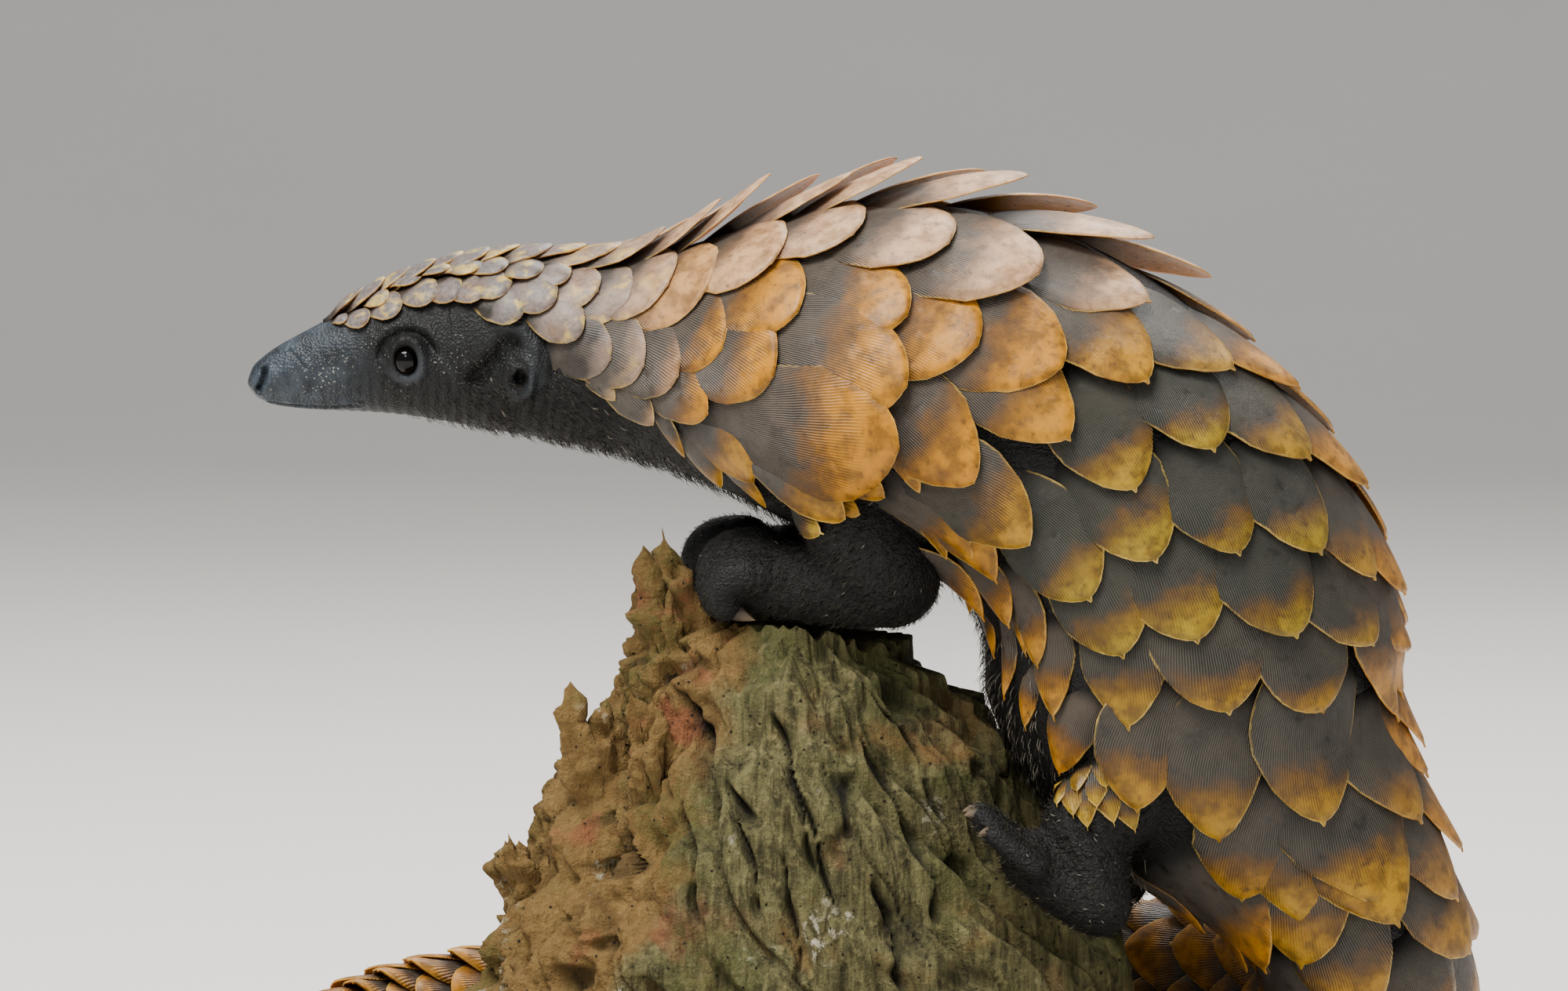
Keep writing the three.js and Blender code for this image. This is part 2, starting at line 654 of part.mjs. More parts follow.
for (const part of PARTS) {
  const [name, v0, v1] = part;
  const body = name === 'head' ? makeHead(v0, v1) : core(part);
  addNode(name, body.add(union(platesOf(v0, v1))), name === 'head' ? 'skin' : 'scale');
}
let perch = union([stumpBody(), ...SPLINTERS.map(splinter)]).subtract(bodyLength(...BELLY));
for (const [side, word] of SIDES) {
  addNode(`eye_${word}`, eye(side), 'eye');
  addNode(`ear_${word}`, ear(side), 'skin');
  for (const kind of ['foreleg', 'hindleg']) {
    const upper = upperLeg(kind, side).subtract(trunk);
    addNode(`${kind}_${word}_upper`, upper, 'fur');
    const lower = lowerLeg(kind, side).subtract(trunk).subtract(upperLeg(kind, side, GAP));
    addNode(`${kind}_${word}_lower`, lower, 'fur');
    perch = perch.subtract(lowerLeg(kind, side, GAP)).subtract(upperLeg(kind, side, GAP));
  }
}
addNode('perch', perch, 'wood');
addNode('stand_base', makeBase(), 'stand');
addNode('stand_rod_1', makeRod(-1), 'stand');
addNode('stand_rod_2', makeRod(1), 'stand');

export default group;
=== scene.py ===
# The looks of a black-bellied pangolin on a broken stump: skin, scales, hair, claws, wood and stand.
# Lengths are in millimetres until a mesh is made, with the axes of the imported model.
import math

import bpy
import numpy as np
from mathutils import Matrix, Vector
from mathutils.bvhtree import BVHTree


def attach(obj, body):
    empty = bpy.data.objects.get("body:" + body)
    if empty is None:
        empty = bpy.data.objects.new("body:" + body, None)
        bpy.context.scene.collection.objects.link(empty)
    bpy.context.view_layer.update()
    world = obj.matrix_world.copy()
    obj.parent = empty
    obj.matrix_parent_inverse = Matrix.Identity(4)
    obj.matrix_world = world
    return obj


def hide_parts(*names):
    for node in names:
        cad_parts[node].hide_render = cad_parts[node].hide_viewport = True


MM = 0.001
TAU = 2 * math.pi

# Centre line of the body: X, Y, Z, then the half depths above and below it and the half width.
BODY_ROWS = [
    (-156.4, -7, 221.6, 3.2, 3.2, 3.0),
    (-150, -6.6, 222.4, 7.6, 6.8, 6.2),
    (-140, -6, 224.8, 10.2, 10.6, 8.8),
    (-128, -5, 227.6, 13.4, 13.4, 11.5),
    (-114, -4, 230.4, 17.6, 17.6, 14.5),
    (-98, -3, 231.8, 20.8, 21.6, 18.0),
    (-82, -2, 231.4, 22.0, 23.2, 20.0),
    (-66, -1, 229.8, 23.0, 25.0, 22.0),
    (-50, 0, 228.4, 27.0, 28.0, 28.0),
    (-34, 0, 227.8, 33.0, 33.0, 37.0),
    (-17, 0, 227, 38.5, 40.5, 45.0),
    (0, 0, 225.4, 43.0, 45.5, 49.0),
    (20, 0, 221.8, 46.5, 46.5, 50.5),
    (41, 0, 215, 46.5, 46.0, 51.0),
    (61, 0, 201.4, 46.5, 48.0, 51.5),
    (76.6, 0, 183.4, 48.0, 53.0, 52.0),
    (86, 0, 163.4, 49.0, 58.0, 52.5),
    (90, 0, 145.4, 47.5, 57.0, 51.5),
    (96, 0, 129.4, 43.0, 49.0, 47.5),
    (106, 0, 115.4, 36.0, 37.0, 41.0),
    (116, 0, 102.4, 30.0, 29.0, 36.0),
    (123.2, 0, 89.4, 27.0, 25.0, 34.0),
    (127, 7, 76, 25.5, 22, 33),
    (129, 24, 64, 24, 20, 31.5),
    (124, 50, 55, 22, 18, 30),
    (103, 79, 51, 20, 16.5, 28),
    (64, 97, 48, 18.5, 15, 26.5),
    (14, 103, 46, 17, 13.5, 25),
    (-38, 101, 45.5, 15.5, 12.5, 23.5),
    (-90, 88, 44.5, 14, 11.5, 21.5),
    (-130, 56, 42.5, 12.5, 10.5, 19.5),
    (-144, 10, 39.5, 11, 9, 17.5),
    (-131, -38, 36, 9.5, 8, 15),
    (-95, -73, 32, 8, 6.8, 12.5),
    (-47, -92, 28.5, 6.5, 5.5, 10),
    (5, -98, 26.5, 4.8, 4.2, 7.5),
    (46, -95, 25.5, 2.8, 2.6, 4.2),
]
BODY_SAMPLES = 24  # for each row
BATCH = 20000  # points that are looked up at once
EGG = 0.14  # how far the trunk's widest level lies below its centre line
TAIL_START = 345.0

# Camera: direction from the target, distance and the width of the view at the target
CAMERA_TARGET = (-20.0, 0.0, 193.0)
CAMERA_AZIMUTH = 4.0
CAMERA_ELEVATION = 4.0
CAMERA_DISTANCE = 2200.0
VIEW_WIDTH = 400.0
SENSOR = 36.0
IMAGE_SIZE = (2000, 1264)
PIXELS = IMAGE_SIZE[0] / VIEW_WIDTH  # for each millimetre at the target

# Eyes and ears: distance along the body and turn round it from the back, on each side
EYE_V, EYE_PHI, EYE_R, EYE_DEPTH = 41.5, 96.0, 4.0, 2.0
EAR_V, EAR_PHI = 71.0, 108.0


def unit(a):
    """Vectors with their length made one."""
    return a / np.maximum(np.linalg.norm(a, axis=-1, keepdims=True), 1e-9)


def smooth(x, low, high):
    """0 below low, 1 above high, with a smooth rise between."""
    t = np.clip((x - low) / (high - low), 0, 1)
    return t * t * (3 - 2 * t)


def b_spline(rows, t):
    """Points at t on a uniform cubic B-spline through padded control rows."""
    rows = np.asarray(rows, float)
    padded = np.concatenate([[2 * rows[0] - rows[1]], rows, [2 * rows[-1] - rows[-2]]])
    t = np.clip(np.asarray(t, float), 0, len(rows) - 1 - 1e-9)
    i = np.floor(t).astype(int)
    f = (t - i)[:, None]
    weights = [
        (1 - f) ** 3 / 6,
        (3 * f**3 - 6 * f**2 + 4) / 6,
        (-3 * f**3 + 3 * f**2 + 3 * f + 1) / 6,
        f**3 / 6,
    ]
    return sum(w * padded[i + k] for k, w in enumerate(weights))


def field(points, size, seed):
    """Smooth random values from -1 to 1 over space, with features of about one size."""
    lattice = np.random.default_rng(seed).uniform(-1, 1, (24, 24, 24))
    p = points / size + 7.3
    i = np.floor(p).astype(int)
    f = p - i
    f = f * f * (3 - 2 * f)
    total = 0
    for corner in range(8):
        step = np.array([corner & 1, corner >> 1 & 1, corner >> 2])
        weight = np.where(step, f, 1 - f).prod(-1)
        j = (i + step) % 24
        total = total + weight * lattice[j[..., 0], j[..., 1], j[..., 2]]
    return total


def rough_field(points, size, seed, octaves=4):
    """The sum of fields of half the size and height each."""
    return sum(field(points, size / 2**k, seed + k) / 2**k for k in range(octaves))


class Tube:
    """A trunk or limb: v runs along it, phi round it, 0 on its back and 90 on its left."""

    def __init__(self, rows):
        last = len(rows) - 1
        table = b_spline(rows, np.linspace(0, last, last * BODY_SAMPLES + 1))
        self.place, self.radii = table[:, :3], table[:, 3:]
        self.along = unit(np.gradient(self.place, axis=0))
        self.back = np.zeros_like(self.place)
        up = np.array([0, 0, 1.0])
        for i, t in enumerate(self.along):
            up = up - (up @ t) * t
            up /= np.linalg.norm(up)
            self.back[i] = up
        steps = np.linalg.norm(np.diff(self.place, axis=0), axis=1)
        self.v = np.concatenate([[0], np.cumsum(steps)])
        self.length = self.v[-1]

    def frame(self, v):
        """Centre, radii and directions along, back and left at v; past its end the tube runs straight."""
        def at(a):
            return np.stack([np.interp(v, self.v, a[:, k]) for k in range(3)], -1)

        along = unit(at(self.along))
        back = at(self.back)
        back = unit(back - (back * along).sum(-1, keepdims=True) * along)
        beyond = np.maximum(v - self.length, 0)[..., None]
        return at(self.place) + beyond * along, at(self.radii), along, back, np.cross(along, back)

    def skin(self, v, phi, h=0.0):
        """Points h above the skin."""
        v, phi, h = np.broadcast_arrays(*[np.asarray(a, float) for a in (v, phi, h)])
        place, radii, _, back, left = self.frame(v)
        c, s = np.cos(np.radians(phi)), np.sin(np.radians(phi))
        a = np.where(c > 0, radii[..., 0], radii[..., 1])
        w = radii[..., 2]
        egg = EGG * np.clip((w - 20) / 25, 0, 1)
        nx, ny = c / a, s / w
        size = np.hypot(nx, ny)
        x = a * c + h * nx / size
        y = w * s * (1 - egg * c) + h * ny / size
        return place + x[..., None] * back + y[..., None] * left

    def outward(self, v, phi):
        """The direction that points straight out of the skin."""
        return unit(self.skin(v, phi, 1.0) - self.skin(v, phi, 0.0))

    def scale_of(self, v, phi):
        """Millimetres on the skin for each unit of v and for each degree of phi."""
        per_v = np.linalg.norm(self.skin(v + 1, phi) - self.skin(v - 1, phi), axis=-1) / 2
        per_phi = np.linalg.norm(self.skin(v, phi + 1) - self.skin(v, phi - 1), axis=-1) / 2
        return np.maximum(per_v, 0.15), np.maximum(per_phi, 0.02)

    def nearest(self, points):
        """v and phi of points near the skin, from every fourth sample and in batches to save memory."""
        coarse = slice(None, None, 4)
        place = self.place[coarse]
        out = np.empty(len(points), int)
        for a in range(0, len(points), BATCH):
            gap = ((points[a : a + BATCH, None] - place[None]) ** 2).sum(-1)
            out[a : a + BATCH] = gap.argmin(1)
        off = points - place[out]
        back = (off * self.back[coarse][out]).sum(-1)
        left = (off * np.cross(self.along, self.back)[coarse][out]).sum(-1)
        along = (off * self.along[coarse][out]).sum(-1)
        return self.v[coarse][out] + along, np.degrees(np.arctan2(left, back))


BODY = Tube(BODY_ROWS)


class View:
    """The photograph's camera, for placing things by its 2000 x 1264 pixels."""

    def __init__(self):
        a, e = math.radians(CAMERA_AZIMUTH), math.radians(CAMERA_ELEVATION)
        self.back = np.array([math.sin(a) * math.cos(e), -math.cos(a) * math.cos(e), math.sin(e)])
        self.right = np.array([math.cos(a), math.sin(a), 0])
        self.up = np.cross(self.back, self.right)
        self.target = np.array(CAMERA_TARGET)

    def pixel(self, points):
        """Where the photograph shows points."""
        d = points - self.target
        scale = PIXELS * CAMERA_DISTANCE / (CAMERA_DISTANCE - d @ self.back)
        x = IMAGE_SIZE[0] / 2 + scale * (d @ self.right)
        y = IMAGE_SIZE[1] / 2 - scale * (d @ self.up)
        return np.stack([x, y], -1)

    def camera(self):
        data = bpy.data.cameras.new("camera")
        data.sensor_width = SENSOR
        data.lens = SENSOR * CAMERA_DISTANCE / VIEW_WIDTH
        data.clip_start, data.clip_end = 0.1, 60
        cam = bpy.data.objects.new("camera", data)
        bpy.context.scene.collection.objects.link(cam)
        cam.location = Vector((self.target + self.back * CAMERA_DISTANCE) * MM)
        cam.rotation_mode = "QUATERNION"
        cam.rotation_quaternion = Vector(-self.back).to_track_quat("-Z", "Y")
        bpy.context.scene.camera = cam


VIEW = View()


# Materials

RIDGE_GAP = 0.66  # millimetres from one ridge of a scale to the next, near its middle


def linear(text):
    """Linear colour from sRGB text such as "8a6a3c"."""
    parts = [int(text[i : i + 2], 16) / 255 for i in (0, 2, 4)]
    return tuple(p / 12.92 if p <= 0.04045 else ((p + 0.055) / 1.055) ** 2.4 for p in parts) + (1.0,)


class Value:
    """A socket of a material, so that sums and products of sockets can be written plainly."""

    def __init__(self, shade, socket):
        self.shade, self.socket = shade, socket

    def __add__(self, other):
        return self.shade.math("ADD", self, other)

    def __sub__(self, other):
        return self.shade.math("SUBTRACT", self, other)

    def __rsub__(self, other):
        return self.shade.math("SUBTRACT", other, self)

    def __mul__(self, other):
        return self.shade.math("MULTIPLY", self, other)

    def __truediv__(self, other):
        return self.shade.math("DIVIDE", self, other)

    def clamped(self):
        self.socket.node.use_clamp = True
        return self


class Shade:
    """A material's nodes, made in short steps."""

    def __init__(self, name):
        self.material = bpy.data.materials.new(name)
        self.material.use_nodes = True
        self.nodes = self.material.node_tree.nodes
        self.links = self.material.node_tree.links
        self.bsdf = self.nodes["Principled BSDF"]
        self.place = Value(self, self.nodes.new("ShaderNodeTexCoord").outputs["Object"])

    def put(self, socket, value):
        """Links a value to a socket, or sets a number, or a colour given as sRGB text."""
        if isinstance(value, Value):
            self.links.new(value.socket, socket)
        else:
            socket.default_value = linear(value) if isinstance(value, str) else value

    def math(self, kind, a, b=0.0):
        node = self.nodes.new("ShaderNodeMath")
        node.operation = kind
        self.put(node.inputs[0], a)
        self.put(node.inputs[1], b)
        return Value(self, node.outputs[0])

    def step(self, value, low, high):
        """0 below low, 1 above high, smooth between."""
        node = self.nodes.new("ShaderNodeMapRange")
        node.interpolation_type = "SMOOTHSTEP"
        self.put(node.inputs["Value"], value)
        self.put(node.inputs["From Min"], low)
        self.put(node.inputs["From Max"], high)
        return Value(self, node.outputs["Result"])

    def mix(self, amount, a, b):
        node = self.nodes.new("ShaderNodeMix")
        node.data_type = "RGBA"
        self.put(node.inputs["Factor"], amount)
        self.put(node.inputs[6], a)
        self.put(node.inputs[7], b)
        return Value(self, node.outputs[2])

    def stretch(self, vector, size):
        node = self.nodes.new("ShaderNodeMapping")
        self.put(node.inputs["Vector"], vector)
        self.put(node.inputs["Scale"], size)
        return Value(self, node.outputs["Vector"])

    def noise(self, scale, detail=3.0, rough=0.55, vector=None, twist=0.0):
        node = self.nodes.new("ShaderNodeTexNoise")
        self.put(node.inputs["Vector"], vector or self.place)
        self.put(node.inputs["Scale"], scale)
        self.put(node.inputs["Detail"], detail)
        self.put(node.inputs["Roughness"], rough)
        self.put(node.inputs["Distortion"], twist)
        return Value(self, node.outputs["Fac"])

    def cells(self, scale):
        """Distance to the nearest of scattered points."""
        node = self.nodes.new("ShaderNodeTexVoronoi")
        self.put(node.inputs["Vector"], self.place)
        self.put(node.inputs["Scale"], scale)
        return Value(self, node.outputs["Distance"])

    def attribute(self, name, output="Fac"):
        node = self.nodes.new("ShaderNodeAttribute")
        node.attribute_name = name
        return Value(self, node.outputs[output])

    def parts(self, name):
        """The three numbers of a vector attribute."""
        node = self.nodes.new("ShaderNodeSeparateXYZ")
        self.put(node.inputs[0], self.attribute(name, "Vector"))
        return [Value(self, output) for output in node.outputs]

    def bump(self, height, distance, strength=1.0, below=None):
        node = self.nodes.new("ShaderNodeBump")
        self.put(node.inputs["Height"], height)
        self.put(node.inputs["Distance"], distance * MM)
        self.put(node.inputs["Strength"], strength)
        if below is not None:
            self.put(node.inputs["Normal"], below)
        return Value(self, node.outputs["Normal"])

    def finish(self, colour, rough, normal=None, **sockets):
        self.put(self.bsdf.inputs["Base Color"], colour)
        self.put(self.bsdf.inputs["Roughness"], rough)
        if normal is not None:
            self.put(self.bsdf.inputs["Normal"], normal)
        for name, value in sockets.items():
            self.put(self.bsdf.inputs[name.replace("_", " ")], value)
        return self.material


def horn_colour(s, amber, olive, pale, broad, fine):
    """The horn beyond the grey root: tan to amber, olive on the flank and chalky on the head."""
    cloud = s.step(s.noise(210, 3, 0.6), 0.36, 0.66)
    tan = s.mix(cloud, "c09a76", "987554")
    warm = s.mix(cloud, "b2760e", "7a5008")
    dull = s.mix(cloud, "8f7a1c", "605016")
    horn = s.mix(s.step(amber, 0.1, 0.7), tan, warm)
    horn = s.mix(olive, horn, dull)
    chalk = s.mix(s.step(fine, 0.3, 0.7), "726a66", "555050")
    chalk = s.mix(s.step(s.noise(170, 3), 0.5, 0.64), chalk, "b39a55")
    horn = s.mix(pale, horn, chalk)
    return s.mix(s.step(broad, 0.5, 0.7) * 0.45, horn, "603a10")


def horn_wear(s, colour, edge, olive):
    """Stains and pits, and a thin light rim."""
    colour = s.mix(s.step(s.noise(420, 5, 0.7), 0.56, 0.72) * 0.5, colour, "33241a")
    pits = s.step(s.cells(480), 0.10, 0.03) * s.step(s.noise(90, 2), 0.5, 0.6)
    colour = s.mix(pits, colour, "20150e")
    rim = (1.0 - s.step(edge + s.noise(500, 3), 0.5, 1.1)) * s.step(s.noise(90, 2), 0.3, 0.6)
    return s.mix(rim * (olive * 0.35 + 0.45), colour, "dcb860")


def horn_under(s, u, olive, fine):
    """The smooth underside of a scale, brightest towards its tip, where its orange is brightened as painted
    light shining through the thin horn.
    """
    below = s.mix(s.step(u, 0.2, 0.6), "5c3410", s.mix(fine, "ee9c2e", "c87a1a"))
    below = s.mix(s.step(s.noise(700, 4), 0.6, 0.7), below, "5a3410")
    # Partly painted shade: the olive share darkens the underside over the flank.
    return s.mix(olive, below, "4a3818")


def scale_material():
    """Horn: grey and finely ridged at the root, amber or pale beyond, with painted shade at the very root
    and over the flank.
    """
    s = Shade("scale_horn")
    u, across, edge = s.parts("place")
    amber, olive, dark = s.parts("tone")
    broad = s.noise(120, 3, 0.6)
    fine = s.noise(900, 4, 0.6)
    reach = u - dark + (broad - 0.5) * 0.36
    spread = across / (u * 0.45 + 0.62)
    ridge = s.math("SINE", spread * (TAU / RIDGE_GAP) + s.noise(320, 2) * 2.6) * 0.5 + 0.5
    pale = (amber * -1.0).clamped()
    fade = (1.0 - s.step(reach, -0.02, 0.3) - pale).clamped()
    ridges = ridge * (fade * s.step(s.noise(200, 2), 0.2, 0.5))
    grey = s.mix(s.step(broad, 0.35, 0.65), "231f1c", "413a33")
    # Painted shade: the olive share darkens the grey over the flank.
    grey = s.mix(olive * 0.8, grey, "1c1d19")
    grey = s.mix(ridges * 0.75, grey, s.mix(olive, "675d52", "484a42"))
    colour = s.mix(s.step(reach, -0.08, 0.12), grey, horn_colour(s, amber, olive, pale, broad, fine))
    brown = s.mix(pale, s.mix(amber, "655042", "5f3c10"), "6f645f")
    band = s.step(reach, -0.14, 0.0) - s.step(reach, 0.02, 0.22)
    colour = horn_wear(s, s.mix(band * 0.5, colour, brown), edge, olive)
    # Painted shade: near black at each scale's root, where the scale above shades it.
    colour = s.mix(1.0 - s.step(u, 0.06, 0.26), colour, "12100e")
    colour = s.mix(s.attribute("under"), colour, horn_under(s, u, olive, fine))
    height = ridges + s.noise(260, 4) * 0.8 + fine * 0.3
    return s.finish(colour, s.noise(300, 4) * 0.26 + 0.3, s.bump(height, 0.22), Specular_IOR_Level=0.3)


def skin_material():
    """Charcoal skin with pale flecks and a bluish snout; nearly black where hair covers it, with painted
    shade in the face's hollows and a painted highlight along the ridge above the ear.
    """
    s = Shade("dark_skin")
    furred, snout, pale_lids_and_ridge_light = s.parts("marks")
    mottled = s.noise(180, 4, 0.6)
    blotch = s.step(mottled, 0.3, 0.7)
    bare = s.mix(blotch, "060707", "101213")
    bare = s.mix(snout * 0.85, bare, s.mix(blotch, "1f252c", "3d4751"))
    # Paler lids and ear rims, and a painted highlight along the ridge above the ear.
    bare = s.mix(pale_lids_and_ridge_light, bare, s.mix(mottled, "262a2e", "4b5259"))
    flecks = s.step(s.cells(1100), 0.26, 0.1) * s.step(s.noise(130, 3), 0.5, 0.6)
    bare = s.mix(flecks * 0.55, bare, "8f8f88")
    flakes = s.step(s.cells(1000), 0.34, 0.16) * s.step(s.noise(620, 2), 0.42, 0.5)
    bare = s.mix(flakes * (s.attribute("scurf") * 0.75), bare, "a5a498")
    colour = s.mix(furred, bare, s.mix(mottled, "040404", "0a0909"))
    # Painted shade: near black in the face's hollows.
    colour = s.mix(s.attribute("hollow_shade"), colour, "050505")
    pores = s.cells(1500) + s.noise(420, 4) * 1.2
    folds = s.noise(90, 3, 0.6, s.stretch(s.place, (2.2, 1.0, 0.7)), 0.6)
    pelt = s.noise(700, 3, 0.6, s.stretch(s.place, (0.35, 1.6, 1.0)), 0.8)
    relief = s.bump(folds, 1.2, 0.6, s.bump(pores, 0.3, 0.9))
    normal = s.bump(pelt * furred, 0.9, 0.9, relief)
    return s.finish(colour, 0.56 - snout * 0.2 + mottled * 0.1, normal, Specular_IOR_Level=0.3)


def hair_material():
    """Black hair, with pale ones among it by their tone."""
    s = Shade("short_hair")
    colour = s.mix(s.attribute("tone"), s.mix(s.noise(500, 2), "030303", "090808"), "a39a8c")
    return s.finish(colour, 0.6, s.bump(s.noise(1500, 2), 0.05), IOR=1.2, Specular_IOR_Level=0.1)


def eye_material():
    """A nearly black eye: a dark brown iris round a black pupil, told apart by distance from its axis."""
    s = Shade("eye_dark")
    iris = s.mix(s.noise(1600, 3), "070504", "120c08")
    colour = s.mix(s.step(s.attribute("off_axis"), 0.4, 0.5), "020202", iris)
    return s.finish(colour, 0.08, None, Coat_Weight=0.04, Coat_Roughness=0.02, Specular_IOR_Level=0.2)


def claw_material():
    """Streaked dark horn, paler towards the tip."""
    s = Shade("claw_horn")
    along = s.parts("place")[0]
    streak = s.noise(60, 4, 0.6, s.stretch(s.attribute("place", "Vector"), (0.4, 3.0, 1.0)))
    colour = s.mix(s.step(along + streak * 0.3, 0.5, 1.1), "1f1a16", "6f5f49")
    return s.finish(colour, 0.36, s.bump(streak, 0.12), Specular_IOR_Level=0.5)


def wood_material():
    """Weathered dead wood: olive grey with ochre rot, moss, and pale crust in spots, and painted shade in
    its cracks, holes and seams.
    """
    s = Shade("old_wood")
    # The first part of wear is painted shade in cracks, holes and seams; the second is the rot.
    crack, rot, _ = s.parts("wear")
    grain = s.noise(150, 5, 0.65, s.stretch(s.place, (3.0, 3.0, 0.35)), 0.4)
    patch = s.noise(26, 4, 0.6, None, 0.5)
    spot = s.noise(330, 5, 0.7)
    wood = s.mix(s.step(grain, 0.3, 0.7), "2d2a17", "6a6541")
    wood = s.mix(s.step(spot, 0.5, 0.75), wood, "7d754e")
    wood = s.mix(s.step(patch + rot * 0.3, 0.54, 0.72) * 0.75, wood, s.mix(spot, "4c3218", "94733f"))
    red = s.step(s.noise(41, 3, 0.6), 0.56, 0.66) * (rot + 0.25).clamped()
    wood = s.mix(red * 0.7, wood, s.mix(spot, "5c2d1b", "96583d"))
    moss = s.step(s.noise(34, 4, 0.6), 0.47, 0.6) * s.step(spot, 0.35, 0.6)
    wood = s.mix(moss * 0.6, wood, "3b431b")
    crust = s.step(s.noise(46, 3), 0.62, 0.7) * s.step(spot, 0.5, 0.6)
    wood = s.mix(crust * 0.75, wood, "b4b09c")
    wood = s.mix(s.step(s.cells(260), 0.16, 0.06), wood, "17120a")
    height = grain + spot * 1.1 + s.noise(1200, 3) * 0.4
    # Painted shade: near black in the cracks, holes and seams.
    return s.finish(s.mix(crack, wood, "080603"), 0.88, s.bump(height, 1.5, 1.0), Specular_IOR_Level=0.25)


def stand_material():
    """Dark paint with fine grit and slightly uneven gloss."""
    s = Shade("stand_paint")
    wear = s.noise(40, 4, 0.6)
    grit = s.bump(s.noise(1400, 3, 0.6), 0.06, 0.6)
    return s.finish(s.mix(wear, "29292b", "353537"), wear * 0.2 + 0.38, grit, Specular_IOR_Level=0.5)


def floor_material():
    """Pale matt studio paper."""
    s = Shade("studio_floor")
    colour = s.mix(s.noise(3, 3), "e2dfda", "e9e6e1")
    return s.finish(colour, 0.9, s.bump(s.noise(220, 3), 0.3, 0.3), Specular_IOR_Level=0.2)


# Meshes

def add_object(name, mesh, material):
    mesh.validate()
    mesh.shade_smooth()
    mesh.materials.append(material)
    obj = bpy.data.objects.new(name, mesh)
    bpy.context.scene.collection.objects.link(obj)
    return obj


def add_values(mesh, name, values):
    """Stores one number or a vector for each point, for the materials."""
    values = np.asarray(values, float)
    vector = values.ndim > 1
    layer = mesh.attributes.new(name, "FLOAT_VECTOR" if vector else "FLOAT", "POINT")
    layer.data.foreach_set("vector" if vector else "value", values.ravel())


def make_mesh(name, points, faces, material, attributes=None, patches=None):
    """An object from points in millimetres, with point values and places in the bake's map."""
    mesh = bpy.data.meshes.new(name)
    points = np.asarray(points, float).reshape(-1, 3) * MM
    faces = np.asarray(faces, np.int32)
    mesh.vertices.add(len(points))
    mesh.vertices.foreach_set("co", points.ravel())
    mesh.loops.add(faces.size)
    mesh.loops.foreach_set("vertex_index", faces.ravel())
    mesh.polygons.add(len(faces))
    mesh.polygons.foreach_set("loop_start", np.arange(0, faces.size, faces.shape[1], dtype=np.int32))
    for key, values in (attributes or {}).items():
        add_values(mesh, key, values)
    if patches is not None:
        layer = mesh.uv_layers.new(name="OFBake")
        layer.data.foreach_set("uv", np.asarray(patches)[faces.ravel()].ravel())
    mesh.update(calc_edges=True)
    return add_object(name, mesh, material)


def place_piece(obj, slot, *nodes):
    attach(obj, "root")
    if nodes:
        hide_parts(*nodes)


def thin_tube(rows):
    """A tube with a round section, from rows of place and radius."""
    return Tube([(x, y, z, r, r, r) for x, y, z, r in rows])


def limb_tube(kind, side):
    """The upper length of a leg, as a tube for its scales."""
    leg = LEGS[kind]
    return thin_tube(on_side(leg["tubes"][0], side, leg["shift"]))


def grid_faces(rows, columns, closed=False):
    """Quads between rows of points, closed round where asked."""
    i, j = np.meshgrid(np.arange(rows - 1), np.arange(columns if closed else columns - 1), indexing="ij")
    k = (j + 1) % columns
    quads = np.stack([i * columns + j, i * columns + k, (i + 1) * columns + k, (i + 1) * columns + j], -1)
    return quads.reshape(-1, 4)


def fan(first, columns, middle, flip=False):
    """Triangles that close a ring of points with one point in its middle."""
    j = np.arange(columns)
    here, after = first + j, first + (j + 1) % columns
    if flip:
        here, after = after, here
    return np.stack([here, after, np.full(columns, middle)], -1)


# Scales: (tip x, tip y, degrees below the horizontal, width, length, sharpness) in the photograph's
# pixels, for the neck, shoulder and arm of the near side. The far side mirrors them.
SHOULDER_SCALES = [
    (762, 368, 21, 80, 70, 0.1), (803, 378, 21, 100, 82, 0.1), (852, 362, 19, 128, 92, 0.1),
    (901, 366, 19, 148, 112, 0.1), (986, 338, 27, 144, 132, 0.1), (1087, 304, 27, 136, 138, 0.1),
    (1208, 318, 27, 144, 164, 0.1), (1320, 358, 30, 162, 190, 0.15), (1352, 470, 34, 150, 190, 0.2),
    (779, 458, 22, 76, 78, 0.1), (820, 466, 26, 92, 92, 0.1),
    (864, 478, 31, 104, 100, 0.15), (920, 446, 35, 116, 116, 0.1), (1018, 400, 31, 128, 150, 0.1),
    (1156, 404, 26, 132, 180, 0.15), (1245, 442, 28, 158, 176, 0.2),
    (783, 513, 45, 30, 56, 0.4), (833, 543, 42, 50, 80, 0.3), (902, 528, 32, 80, 104, 0.2),
    (988, 478, 30, 134, 150, 0.2), (1156, 492, 22, 142, 224, 0.15), (1245, 610, 46, 118, 190, 0.45),
    (872, 587, 50, 24, 74, 0.6), (919, 623, 48, 44, 92, 0.4), (962, 614, 40, 78, 110, 0.3),
    (1148, 564, 7, 152, 262, 0.1), (1317, 690, 46, 120, 176, 0.6),
    (977, 650, 38, 38, 84, 0.45), (1080, 648, 26, 66, 150, 0.4),
    (1126, 638, 24, 46, 74, 0.3), (1097, 653, 16, 26, 60, 0.4), (1161, 560, 66, 26, 84, 0.5),
    (1172, 630, 56, 30, 86, 0.5), (1208, 712, 52, 30, 110, 0.6), (1241, 708, 48, 52, 130, 0.6),
]
